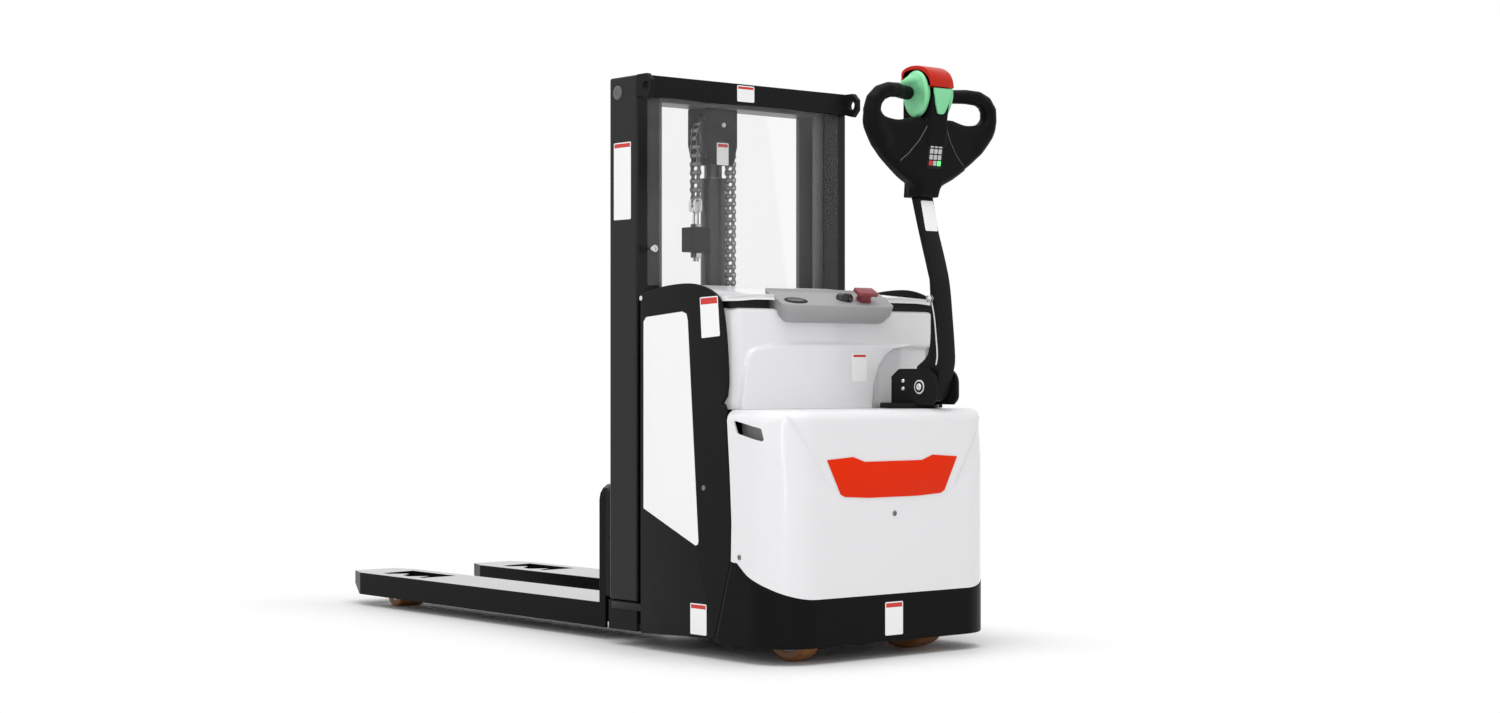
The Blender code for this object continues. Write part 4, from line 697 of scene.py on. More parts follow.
FRAME_FINISH = {
    mast_paint: ("outer_mast_left", "outer_mast_right"),
    black_paint: ("chassis_frame", "left_support_leg", "right_support_leg", "top_crossbar",
                  "chain_anchor_block", "fork_carriage"),
    gloss_black: ("lift_cylinder",),
    # inner rails: paint lightened as a painted reflection of the clear screen in front
    rail_paint_with_screen_reflection: ("inner_mast_left", "inner_mast_right", "inner_top_bar", "inner_bottom_tie"),
    fork_paint: ("left_fork", "right_fork"),
    white_film: ("left_panel_inset", "right_panel_inset"),
    black_plastic: ("battery", "hydraulic_power_unit", "drive_unit"),
    zinc_steel: ("motor_controller", "castor_fork", "pulley_pin", "left_load_axle",
                 "right_load_axle", "tiller_pivot_pin"),
    dark_steel: ("guide_roller_lower_left", "guide_roller_lower_right",
                 "guide_roller_upper_left", "guide_roller_upper_right"),
    clear_screen: ("mast_screen",),
}
THIN_FINISHES = (white_film, clear_screen)
THIN_EDGE, WELD_REACH, BEVEL_ANGLE = 0.0004, 0.00005, math.radians(40.0)


class STACKER_OT_frame(Step, bpy.types.Operator):
    """Paints the frame's own solids and rounds their edges"""
    bl_idname = "stacker.frame"
    bl_label = "Frame"
    makes = ("dress",)

    def dress(self):
        for make, names in FRAME_FINISH.items():
            width = sizes().rail_edge if make is mast_paint else sizes().edge
            for name in names:
                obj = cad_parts[name]
                obj.data.materials.clear()
                obj.data.materials.append(make())
                weld = obj.modifiers.new("Weld", "WELD")
                weld.merge_threshold = WELD_REACH
                bevel = obj.modifiers.new("Edges", "BEVEL")
                bevel.width = THIN_EDGE if make in THIN_FINISHES else width
                bevel.segments = 2
                bevel.limit_method = "ANGLE"
                bevel.angle_limit = BEVEL_ANGLE
                bevel.harden_normals = True


# Rear covers

SKIRT_EDGE = np.array([(-0.336, 0.2185), (-0.413, 0.187), (-0.464, 0.1655), (-0.540, 0.131)])
PANEL_REAR = np.array([(-0.294, 0.046), (-0.347, 0.215), (-0.349, 0.305), (-0.343, 0.411),
                       (-0.333, 0.538), (-0.330, 0.565)])
PANEL_TOP = [(-0.334, 0.581), (-0.338, 0.624), (-0.330, 0.718), (-0.317, 0.779), (-0.301, 0.8026),
             (-0.269, 0.819), (-0.226, 0.8296), (-0.182, 0.8323), (-0.121, 0.829), (-0.070, 0.822),
             (-0.026, 0.813)]
PANEL_FRONT = -0.026
TOE = box_line(-0.030, 0.085, 0.038, 0.084)
FOOT_PLATE = box_line(-0.028, 0.090, 0.0855, 0.1015)
PANEL_T = 0.0095
PROUD = 0.0007        # plates and insets stand out of a face by this much
SEAM_GAP = 0.0005     # half the gap between the cover and the skirt
COVER_CORNER, SKIRT_CORNER = 0.105, 0.107
SIDES = (-1, 1)


def body_plan(half_w, rear, front, radius):
    """Plan line of the rear body and its outward normals: right side, round corner, rear, round
    corner, left side."""
    a = quarter(33)
    side = np.linspace(front, rear + radius, 14)[:-1]
    right = np.stack([np.full_like(side, half_w), side], 1)
    corner = np.stack([half_w - radius + radius * np.cos(a), rear + radius - radius * np.sin(a)], 1)
    back = np.linspace(half_w - radius, 0.0, 76)[1:]
    half = np.vstack([right, corner, np.stack([back, np.full_like(back, rear)], 1)])
    normal = np.vstack([np.tile((1.0, 0.0), (len(right), 1)),
                        np.stack([np.cos(a), -np.sin(a)], 1), np.tile((0.0, -1.0), (len(back), 1))])
    flip = np.array([-1.0, 1.0])
    return (np.vstack([half, (half * flip)[-2::-1]]),
            np.vstack([normal, (normal * flip)[-2::-1]]))


def fitted(plan, z, corner_y):
    """The plan's straight sides drawn out to the side panel's leaning rear edge at each height."""
    front = plan[0, 1]
    share = np.clip((plan[:, 1] - corner_y) / (front - corner_y), 0.0, 1.0)
    edge = np.interp(z, PANEL_REAR[:, 1], PANEL_REAR[:, 0] - 0.002) - 0.001
    return np.stack(np.broadcast_arrays(plan[:, 0], plan[:, 1] + (edge - front) * share, z), -1)


def skirt_line(plan):
    """Height of the skirt's curved top edge along a plan line."""
    return np.interp(-plan[:, 1], -SKIRT_EDGE[:, 0], SKIRT_EDGE[:, 1])


def climb(foot, top, radius, straight, turn):
    """Heights and insets of rows that climb to a rounded top edge, where each row draws in by
    r * (1 - cos a) while it rises by r * sin a."""
    rows = [(foot + t * (top - radius - foot), 0.0) for t in np.linspace(0.0, 1.0, straight)]
    return rows + [(top - radius + radius * math.sin(a), radius * (1 - math.cos(a)))
                   for a in quarter(turn)[1:]]


class STACKER_OT_panels(Step, bpy.types.Operator):
    """Black side panels with rounded edges, their set-back toes and the plates at the mast's feet"""
    bl_idname = "stacker.panels"
    bl_label = "Side panels"
    makes = ("panels",)

    def panels(self):
        """Outlines of y and z carried through their thickness: the panel's rounded rear corners and
        smooth top line, the toe and the foot plate."""
        steps = 5
        corners = np.vstack([[(PANEL_FRONT, 0.046)], PANEL_REAR, [(PANEL_FRONT, 0.565)]])
        rear = rounded(corners, 0.012, steps)[steps + 1:-steps - 1]
        outline = np.vstack([[(PANEL_FRONT, 0.036)], rear, smooth_line(PANEL_TOP, 4)])
        layers = ((outline, PANEL_T, PROUD, 0.0022, black_paint),
                  (rounded(TOE, 0.002, 3), 0.040, 0.020, 0.001, skirt_paint),
                  (rounded(FOOT_PLATE, 0.002, 3), 0.030, 0.004, 0.0015, mast_paint))
        for side, label in zip(SIDES, ("left", "right")):
            parts = [(*slab(line, *span(side, HALF_W - deep, HALF_W - out), edge, "X"), make)
                     for line, deep, out, edge, make in layers]
            piece(label + "_panel", parts, "truck", (label + "_side_panel",))


class STACKER_OT_rear_covers(Step, bpy.types.Operator):
    """White rear cover with its rounded deck, and the black skirt below it"""
    bl_idname = "stacker.rear_covers"
    bl_label = "Rear covers"
    makes = ("cover", "skirt", "vents")

    def cover(self):
        """Rows climb from the skirt's edge to the deck over a rounded edge.  Outside a slanting
        crease on each side the rear face falls back a little."""
        plan, normal = body_plan(COVER_HIGH[0], COVER_LOW[1], -0.33, COVER_CORNER)
        turned_in = np.maximum(-plan[:, 1] - 0.36, 0.0)
        crease_width, crease_depth = 0.007, 0.0055
        rings = []
        for z, inset in climb(skirt_line(plan) + SEAM_GAP, COVER_HIGH[2], sizes().cover_edge, 90, 9):
            line = fitted(plan, z, COVER_LOW[1] + COVER_CORNER)
            past = np.abs(plan[:, 0]) - np.interp(z, (0.36, 0.45, 0.54), (0.174, 0.230, 0.292))
            back = smooth_step(past / crease_width) * (1 - smooth_step((past - crease_width) / 0.080))
            back = back * smooth_step((z - 0.350) / 0.060) * smooth_step(turned_in / 0.06)
            line[:, :2] -= normal * (inset + crease_depth * back)[:, None]
            rings.append(line)
        obj = piece("rear_cover_shell", [(*loft(rings, False, False), white_cover)], "truck",
                    ("rear_cover",))
        thicken(obj, sizes().cover_wall)
        slot = rounded([(-0.358, 0.5287), (-0.3704, 0.4996), (-0.4535, 0.4820), (-0.4445, 0.5115)],
                       (0.003, 0.006, 0.005, 0.006))
        carve(obj, [(*slab(slot, *span(side, HALF_W - 0.031, HALF_W + 0.012), 0.0005, "X"), white_cover)
                    for side in SIDES])

    def skirt(self):
        """Rows climb from the floor edge to the curved top edge, over a lip that rolls in."""
        lip, foot = 0.003, SKIRT_LOW[2]
        plan, normal = body_plan(SKIRT_HIGH[0] - PROUD, SKIRT_LOW[1] + PROUD, -0.30, SKIRT_CORNER)
        rows = [(np.full(len(plan), foot), lip), (np.full(len(plan), foot + 0.001), 0.001)]
        rings = []
        for z, inset in rows + climb(foot + lip, skirt_line(plan) - SEAM_GAP, lip, 14, 5):
            line = fitted(plan, z, SKIRT_LOW[1] + SKIRT_CORNER)
            line[:, :2] -= normal * inset
            rings.append(line)
        obj = piece("rear_skirt_shell", [(*loft(rings, False, False, False), skirt_paint)], "truck",
                    ("rear_skirt",))
        thicken(obj, sizes().cover_wall)

    def vents(self):
        """Backs behind the two side slots: an outline carried through a thickness."""
        back = rounded([(-0.350, 0.537), (-0.354, 0.492), (-0.474, 0.470), (-0.470, 0.522)], 0.006)
        piece("vent_backs", [(*slab(back, *span(side, HALF_W - 0.040, HALF_W - 0.032), 0.001, "X"),
                              grey_tray) for side in SIDES], "truck")


# Console

FIELD_LEFT = np.array([(0.5636, 0.6107, 0.6646, 0.6795, 0.6884, 0.700),
                       (-0.2973, -0.2912, -0.2798, -0.2692, -0.2533, -0.205)])
FIELD_RIGHT = np.array([(0.5568, 0.6027, 0.6451, 0.6735, 0.6879, 0.696),
                        (0.1068, 0.1116, 0.1261, 0.1503, 0.1747, 0.235)])
FIELD_TOP = ((-0.27, -0.20, -0.11, 0.03, 0.30), (0.686, 0.697, 0.701, 0.701, 0.696))
FIELD_RELIEF, CONSOLE_WALL = 0.008, 0.003
BAY_Y, BAY_RADIUS = -0.390, 0.080


class STACKER_OT_console(Step, bpy.types.Operator):
    """White console with its raised field and the bay for the tiller, its lid and dark band"""
    bl_idname = "stacker.console"
    bl_label = "Console"
    makes = ("cover", "lid")

    def cover(self):
        """The rear face is a relief y(x, z): a raised field with rounded corners, a set-back upper
        band and a bay that follows a circle round the tiller's base."""
        low, high = CONSOLE_LOW, CONSOLE_HIGH
        plan, normal = body_plan(high[0], low[1], high[1], 0.045)
        x = plan[:, 0]
        bay_x = (BASE_LOW[0] + BASE_HIGH[0]) / 2
        bay_y = np.maximum(low[1] + 0.020,
                           BAY_Y + np.sqrt(np.maximum(BAY_RADIUS ** 2 - (x - bay_x) ** 2, 0.0)))
        rear = smooth_step((-plan[:, 1] - 0.29) / 0.03)
        top = np.interp(x, *FIELD_TOP)
        rings = []
        for z, inset in climb(low[2], high[2], 0.010, 110, 6):
            left, right = np.interp(z, *FIELD_LEFT), np.interp(z, *FIELD_RIGHT)
            field = smooth_step((x - left) / 0.009) * smooth_step((right - x) / 0.010)
            field = field * smooth_step((top + 0.003 - z) / 0.012)
            bay = smooth_step((x - right) / 0.010) * smooth_step((top + 0.002 - z) / 0.016)
            depth = FIELD_RELIEF * (1 - field)
            depth = depth + (bay_y - low[1] - depth) * bay
            line = np.stack([x, plan[:, 1], np.full_like(x, z)], 1)
            line[:, :2] -= normal * (inset + depth * rear)[:, None]
            rings.append(line)
        obj = piece("console_shell", [(*loft(rings, False, False), white_cover)], "truck",
                    ("console_cover",))
        thicken(obj, CONSOLE_WALL)
        t0, t1, foot = TRAY_LOW[0], TRAY_HIGH[0], TRAY_LOW[2]
        notch = np.array([(t0 + 0.026, foot + 0.004), (t1 - 0.026, foot + 0.004), (t1 - 0.010, 0.762),
                          (t1 - 0.001, 0.782), (t1 + 0.001, 1.0), (t0 - 0.001, 1.0),
                          (t0 + 0.001, 0.782), (t0 + 0.010, 0.762)])
        carve(obj, [(*slab(notch, -0.5, TRAY_HIGH[1] + 0.001, 0.0005, "Y"), white_cover)])

    def lid(self):
        """A bent plate and the band under it.  Each is a closed profile of y and z carried along x;
        the plate climbs towards the mast by a tenth, but rolls level towards its two sides."""
        foot = CONSOLE_HIGH[2] + 0.018

        def carried(inset, low, high, edge):
            gap = inset + 0.0008
            t0, t1 = TRAY_LOW[0] - gap, TRAY_HIGH[0] + gap
            wide = LID_HIGH[0] - inset
            x = np.concatenate([np.linspace(-wide, t0, 24), np.linspace(t0 + 1e-5, t1 - 1e-5, 30),
                                np.linspace(t1, wide, 20)])
            in_tray = (x > t0) & (x < t1)
            rear = np.where(in_tray, TRAY_HIGH[1] + gap, LID_LOW[1] + inset)[:, None]
            front = np.full_like(rear, LID_HIGH[1] - inset)
            a = quarter(6)
            y = np.concatenate([rear + edge * (1 - np.sin(a)), front - edge * (1 - np.cos(a)), front,
                                rear], 1)
            z = np.concatenate([high - edge * (1 - np.cos(a[::-1])), high - edge * (1 - np.sin(a[::-1])),
                                [low, low]])
            level = smooth_step((np.abs(x) - 0.235) / 0.085)[:, None]
            rise = 0.10 * (y - CONSOLE_LOW[1]) * (1 - level) - 0.004 * level
            lifted = z + rise * (z > foot - 0.0001)
            return loft(np.stack(np.broadcast_arrays(x[:, None], y, lifted), -1))

        piece("console_lid_plate", [(*carried(0.0, foot, foot + 0.012, 0.004), white_cover)], "truck",
              ("console_lid",))
        piece("lid_band", [(*carried(0.010, LID_LOW[2], foot + 0.004, 0.001), black_plastic)],
              "truck")


# Tray and its controls

TRAY_SLOPE = 0.58
TRAY_RIM, TRAY_FOLD = 0.783, 0.762
STOP_SHIFT = (-0.014, -0.003)


def tray_z(y):
    """Height of the tray's sloping rim."""
    return TRAY_RIM + TRAY_SLOPE * (y - TRAY_LOW[1])


class STACKER_OT_tray(Step, bpy.types.Operator):
    """Grey tray set into the console, with its finger slot, key and emergency stop"""
    bl_idname = "stacker.tray"
    bl_label = "Tray and controls"
    makes = ("tray", "slot", "stop", "key")

    def tray(self):
        """Rings of a rounded box that draws in towards its foot, more at the ends than at the front: a
        fold half way up, the sloping rim and the dished floor."""
        foot, fold, rim = TRAY_LOW[2], TRAY_FOLD, TRAY_RIM
        rows = [(0.036, 0.016, foot, 0.0, 0.020), (0.029, 0.009, foot + 0.001, 0.0, 0.022),
                (0.024, 0.005, foot + 0.004, 0.0, 0.024), (0.0105, 0.0012, fold - 0.002, 0.0, 0.024),
                (0.0085, 0.0002, fold, 0.0, 0.023), (0.0015, 0.0014, rim - 0.003, 1.0, 0.014),
                (0.001, 0.0022, rim - 0.0008, 1.0, 0.013), (0.002, 0.0036, rim, 1.0, 0.012),
                (0.004, 0.0060, rim - 0.0003, 1.0, 0.011), (0.0075, 0.0085, rim - 0.0030, 1.0, 0.011),
                (0.012, 0.0125, rim - 0.0046, 1.0, 0.010), (0.020, 0.0180, rim - 0.0050, 1.0, 0.008)]
        rings = []
        for end, front, z, slope, radius in rows:
            line = rounded(box_line(TRAY_LOW[0] + end, TRAY_HIGH[0] - end, TRAY_LOW[1] + front,
                                    TRAY_HIGH[1] - front / 2), (radius, radius, 0.006, 0.006), 8)
            rings.append(np.column_stack([line, z + slope * TRAY_SLOPE * (line[:, 1] - TRAY_LOW[1])]))
        piece("tray_shell", [(*loft(rings), grey_tray)], "truck", ("storage_tray",))

    def slot(self):
        """Two ovals carried through a thickness and lifted on to the slope: a black one that paints the
        shade on the slot's walls and a dark grey one that paints its shaded floor.
        """
        a = full_turn(40)
        parts = []
        # black oval: painted shade on the slot's walls; dark grey oval: the slot's floor, darkened as
        # painted shade
        for long, deep, shift, top, make in ((0.034, 0.0115, 0.0, 0.0012, black_plastic),
                                             (0.0255, 0.0058, 0.0016, 0.0014, painted_shade_and_highlight_grey)):
            line = np.stack([-0.130 + long * np.cos(a), -0.334 + shift + deep * np.sin(a)], 1)
            points, faces = slab(line, -0.0062, top - 0.005, 0.0006, "Z")
            points[:, 2] += tray_z(points[:, 1])
            parts.append((points, faces, make))
        piece("finger_slot_painted_shade", parts, "truck")

    def stop(self):
        """A T-shaped grip: a rounded slab on a waisted block, square to the tray's slope, over a round
        stem."""
        x, y, _ = (STOP_LOW + STOP_HIGH) / 2
        top = STOP_HIGH[2] - tray_z(y)
        grip = rounded(box_line(-0.029, 0.029, -0.015, 0.015), 0.005)
        neck = rounded(box_line(-0.014, 0.014, -0.011, 0.011), 0.003)
        solid, faces = merged(slab(grip, top - 0.009, top, 0.0020, "Z"),
                              slab(neck, -0.006, top - 0.0085, 0.0008, "Z"))
        lean = math.atan(TRAY_SLOPE)
        across, along, up = solid.T
        grip_y = y + STOP_SHIFT[1]
        tilted = np.stack([x + STOP_SHIFT[0] + across,
                           grip_y + along * math.cos(lean) - up * math.sin(lean),
                           tray_z(grip_y) + along * math.sin(lean) + up * math.cos(lean)], 1)
        stem = rod(0.0100, STOP_LOW[2] + 0.008, tray_z(y) - 0.004)
        piece("stop_grip", [(tilted, faces, dark_red_plastic),
                            (*turned(stem, "Z", (x, y), 28), dark_red_plastic)], "estop",
              ("estop_knob",))

    def key(self):
        """A hooded turn knob: a barrel in the tray under a long oval cap that tapers to its top, with
        a steel slot."""
        x, y, _ = (KEY_LOW + KEY_HIGH) / 2
        floor = tray_z(y) - 0.004
        a = full_turn(40)
        rings = []
        for share, height in ((0.98, -0.004), (1.0, 0.004), (0.97, 0.007), (0.88, 0.0105),
                              (0.74, 0.0125), (0.58, 0.0132)):
            rings.append(on_axis(x - 0.004 + 0.0235 * share * np.cos(a), y + 0.0135 * share * np.sin(a),
                                 floor + height, "Z"))
        blade = rounded(box_line(x - 0.009, x + 0.009, y - 0.0016, y + 0.0016), 0.0012)
        parts = [(*turned(rod(0.0125, KEY_LOW[2], floor + 0.002), "Z", (x, y), 36), black_plastic),
                 (*loft(rings), gloss_black),
                 (*slab(blade, floor + 0.011, floor + 0.0142, 0.0004, "Z"), zinc_steel)]
        piece("key_knob", parts, "key", ("key_switch",))


# Control head

SEAM = ((1.060, 1.096, 1.104, 1.129, 1.161, 1.192, 1.216, 1.263),
        (0.30, 0.129, 0.107, 0.075, 0.0464, 0.0287, 0.0206, 0.0157))
SADDLE_INNER = [(-0.4915, 1.2805), (-0.4875, 1.296), (-0.476, 1.3095), (-0.455, 1.3195),
                (-0.4255, 1.321), (-0.4095, 1.3155), (-0.4085, 1.302)]
SADDLE_FOOT = np.array([(-0.506, 1.400), (-0.505, 1.2805), *SADDLE_INNER, (-0.395, 1.302),
                        (-0.394, 1.400)]).T
COLUMN_HALF = 0.0275
HOLE_X, HOLE_Z = 0.134, 1.141
BUTTON_DROP = 0.0085  # the saddle's travel and a little air
WING_STEP = 0.0016    # cell size of the wings' skin


def head_half(dx):
    """Half of the shield's thickness, which grows towards its middle."""
    return 0.0195 + 0.003 * smooth_step((0.12 - dx) / 0.10)


class STACKER_OT_head(Step, bpy.types.Operator):
    """Charcoal head with two hand loops, the green wings, the red button and the keypad"""
    bl_idname = "stacker.head"
    bl_label = "Control head"
    makes = ("shell", "painted_beads_and_holes", "wings", "button", "keypad")

    def shell(self):
        """A field of space: a thick shield, two hand loops as rods that swell towards their outer
        bend, a column between them and a neck, joined with fillets.  A raised middle field ends
        at a curved seam on each side."""
        shield = smooth_line([(0.030, HEAD_FOOT), (0.040, 1.058), (0.075, 1.076), (0.115, 1.101),
                              (0.152, 1.129), (0.184, 1.168), (0.197, 1.200), (0.180, 1.216),
                              (0.142, 1.207), (0.104, 1.204), (0.060, 1.212)], 3)
        shield = np.vstack([shield, (shield * (-1.0, 1.0))[::-1]])
        column = np.array([(-0.479, 1.15), (-0.488, 1.20), (-0.4985, 1.264), (-0.486, 1.266),
                           (-0.477, 1.286), (-0.463, 1.297), (-0.440, 1.303), (-0.419, 1.299),
                           (-0.400, 1.285), (-0.391, 1.255), (-0.391, 1.20), (-0.41, 1.15)])
        loop = np.array([(0.150, 1.160), (0.176, 1.190), (0.1855, 1.220), (0.1815, 1.242),
                         (0.166, 1.259), (0.142, 1.268), (0.110, 1.2705), (0.088, 1.2700),
                         (0.060, 1.2690)])
        radii = (0.020, 0.0195, 0.0195, 0.0190, 0.0180, 0.0170, 0.0165, 0.0160, 0.0160)
        path = [(x, lean_y(z) + 0.025 * smooth_step((0.135 - x) / 0.07), z) for x, z in loop]

        def field(x, y, z):
            dx = np.abs(x - TILLER_X)
            across = y - lean_y(z)
            raised = 0.0052 * smooth_step((np.interp(z, *SEAM) - dx) / 0.0030)
            half = head_half(dx)
            thick = np.where(across < 0, -across - half - raised, across - half)
            body = thick_outline(outline_distance(dx, z, shield), thick, 0.016)
            loops = tube_distance(dx, y, z, path, radii)
            post = thick_outline(outline_distance(y, z, column), dx - COLUMN_HALF, 0.005)
            narrow = np.maximum(dx - COLUMN_HALF - 0.08 * (z - HEAD_FOOT), z - 1.080)
            neck = thick_outline(np.maximum(narrow, HEAD_FOOT - z), np.abs(across - 0.006) - 0.029,
                                 0.004)
            solid = smooth_min(body, loops, 0.014)
            solid = smooth_min(solid, neck, 0.010)
            return smooth_min(solid, post, 0.008)

        points, faces = skin(field, HEAD_LOW - 0.01, HEAD_HIGH + 0.01, sizes().skin_step)
        points[:, 2] = np.maximum(points[:, 2], HEAD_FOOT)
        points[:, 0] = np.clip(points[:, 0], HEAD_LOW[0], HEAD_HIGH[0])
        piece("head_skin", [(points, faces, charcoal_plastic)], "tiller",
              ("head_shell",), sharp=SKIN_SHARP)

    def painted_beads_and_holes(self):
        """A thin light bead along the foot of the raised field on each side, a painted highlight on the
        lit edge of the step, and two dark discs that paint the shade in two screw holes.
        """
        z = np.linspace(1.111, 1.212, 40)
        dx = np.interp(z, *SEAM) + 0.0024
        hole_shade = rod(0.0042, lean_y(HOLE_Z) - 0.0200, lean_y(HOLE_Z) - 0.015)
        parts = []
        for side in SIDES:
            path = np.stack([TILLER_X + side * dx, lean_y(z) - head_half(dx), z], 1)
            # light grey bead: painted highlight on the lit edge of the raised field's step
            parts.append((*sweep(ring_section(0.0012, 8), path, (0, 0, 1)), painted_shade_and_highlight_grey))
            # dark disc: painted shade in each of the two screw holes
            parts.append((*turned(hole_shade, "Y", (TILLER_X + side * HOLE_X, HOLE_Z), 20), skirt_paint))
        piece("head_painted_beads_and_holes", parts, "tiller")

    def wings(self):
        """Two oval lobes about the throttle's axis, hollowed on the outer face for a thumb, with a
        lip at the front and room for the saddle's travel; a shaft joins them through the column."""
        half_y, half_z = ((WINGS_HIGH - WINGS_LOW) / 2)[1:]
        inner, outer = 0.0283, WINGS_HIGH[0] - TILLER_X - 0.003
        half_y = half_y - 0.003
        foot = SADDLE_FOOT[:, 1:-1]
        clear = np.hypot(foot[0] - WING_Y, foot[1] - BUTTON_DROP - WING_Z).min() - 0.0008

        def field(x, y, z):
            dx = np.abs(x - TILLER_X)
            u, v = y - WING_Y + 0.004, z - WING_Z
            waist = 1.0 - 0.10 * smooth_step((0.01 - v) / 0.06)
            oval = (np.hypot(u / (half_y * waist), v / half_z) - 1.0) * half_y
            lobe = thick_outline(oval, np.maximum(inner - dx, dx - outer), 0.006)
            hollow = np.sqrt((dx - outer - 0.050) ** 2 + (u + 0.004) ** 2 + (v + 0.014) ** 2) - 0.058
            lobe = -smooth_min(-lobe, hollow, 0.005)
            lip = tube_distance(dx, u, v, [(0.040, -0.006, 0.033), (0.046, 0.022, 0.030),
                                           (0.052, 0.044, 0.022)], (0.010, 0.0085, 0.0050))
            lobe = smooth_min(lobe, lip, 0.008)
            guard = np.interp(y, *SADDLE_FOOT) - BUTTON_DROP - 0.001
            axle = np.hypot(y - WING_Y, v)
            room = np.maximum(z - guard, np.minimum(axle - clear, v + 0.012))
            lobe = np.maximum(lobe, np.minimum(0.0355 - dx, room))
            return np.minimum(lobe, np.maximum(axle - 0.006, dx - 0.036))

        points, faces = skin(field, WINGS_LOW - 0.016, WINGS_HIGH + 0.016, WING_STEP)
        piece("wing_pair", [(points, faces, green_plastic)], "throttle",
              ("throttle_wings",), sharp=SKIN_SHARP)

    def button(self):
        """An arched bar across the column: a curve through the saddle's outer line and its inner
        line, carried across with rounded sides."""
        outer = smooth_line([(-0.3965, 1.303), (-0.3995, 1.324), (-0.424, 1.3335), (-0.458, 1.3318),
                             (-0.485, 1.320), (-0.499, 1.302), (-0.5035, 1.2815)], 6)
        outline = np.vstack([outer, smooth_line(SADDLE_INNER, 6)])
        stem = rod(0.0078, BUTTON_LOW[2], 1.326)
        parts = [(*slab(outline, TILLER_X - 0.034, TILLER_X + 0.034, 0.0034, "X", 4), red_plastic),
                 (*turned(stem, "Z", (TILLER_X, -0.440), 20), red_plastic)]
        piece("button_saddle", parts, "belly_button", ("belly_button",))
        tongue = rounded([(-0.0285, 1.2785), (0.0285, 1.2785), (0.0195, 1.243), (0.0095, 1.2205),
                          (-0.0095, 1.2205), (-0.0195, 1.243)],
                         (0.002, 0.002, 0.02, 0.009, 0.009, 0.02))
        points, faces = slab(tongue, -0.004, 0.0015, 0.0012, "Y")
        points[:, 1] += np.interp(points[:, 2], (1.20, 1.262, 1.28), (-0.4880, -0.4985, -0.4985))
        points[:, 0] += TILLER_X
        piece("column_tongue", [(points, faces, green_plastic)], "belly_button")

    def keypad(self):
        """A thin membrane with a grid of twelve raised keys, drawn upright and leaned to the head."""
        face, pitch_x, pitch_z, half_x, half_z = -0.0285, 0.0132, 0.0133, 0.0052, 0.0054
        sheet = rounded(box_line(PAD_LOW[0], PAD_HIGH[0], PAD_LOW[2], PAD_HIGH[2]), 0.004)
        parts = [(*slab(sheet, face, face + 0.005, 0.0005, "Y"), black_plastic)]
        # the green key in the last row glows by emission: a painted glow
        last_row = (band_film, key_grey, green_key_painted_glow)
        for row in range(4):
            for column in range(3):
                x = TILLER_X + (column - 1) * pitch_x
                z = PAD_LOW[2] + 0.0520 - row * pitch_z
                key = rounded(box_line(x - half_x, x + half_x, z - half_z, z + half_z), 0.0015, 3)
                make = last_row[column] if row == 3 else key_grey
                parts.append((*slab(key, face - 0.0009, face + 0.001, 0.0005, "Y", 2), make))
        for points, _, _ in parts:
            points[:, 1] += lean_y(points[:, 2])
        piece("keypad_membrane", parts, "tiller", ("keypad",))


# Tiller arm and its base

ARM_FRONT = [(-0.437, 0.647), (-0.466, 0.667), (-0.479, 0.693), (-0.482, 0.744), (-0.479, 0.832),
             (-0.472, 0.862), (-0.443, 0.953), (-0.419, 1.034)]
ARM_REAR = [(-0.446, 1.034), (-0.461, 0.967), (-0.486, 0.891), (-0.501, 0.835), (-0.510, 0.763),
            (-0.5185, 0.668), (-0.513, 0.632)]
PIVOT_Y, PIVOT_Z = ((PIN_LOW + PIN_HIGH) / 2)[1:]
HUB_RADIUS = 0.0335
CHEEK_X = (0.0298, 0.0378)
STOP_BOLT = (-0.4895, 0.800)


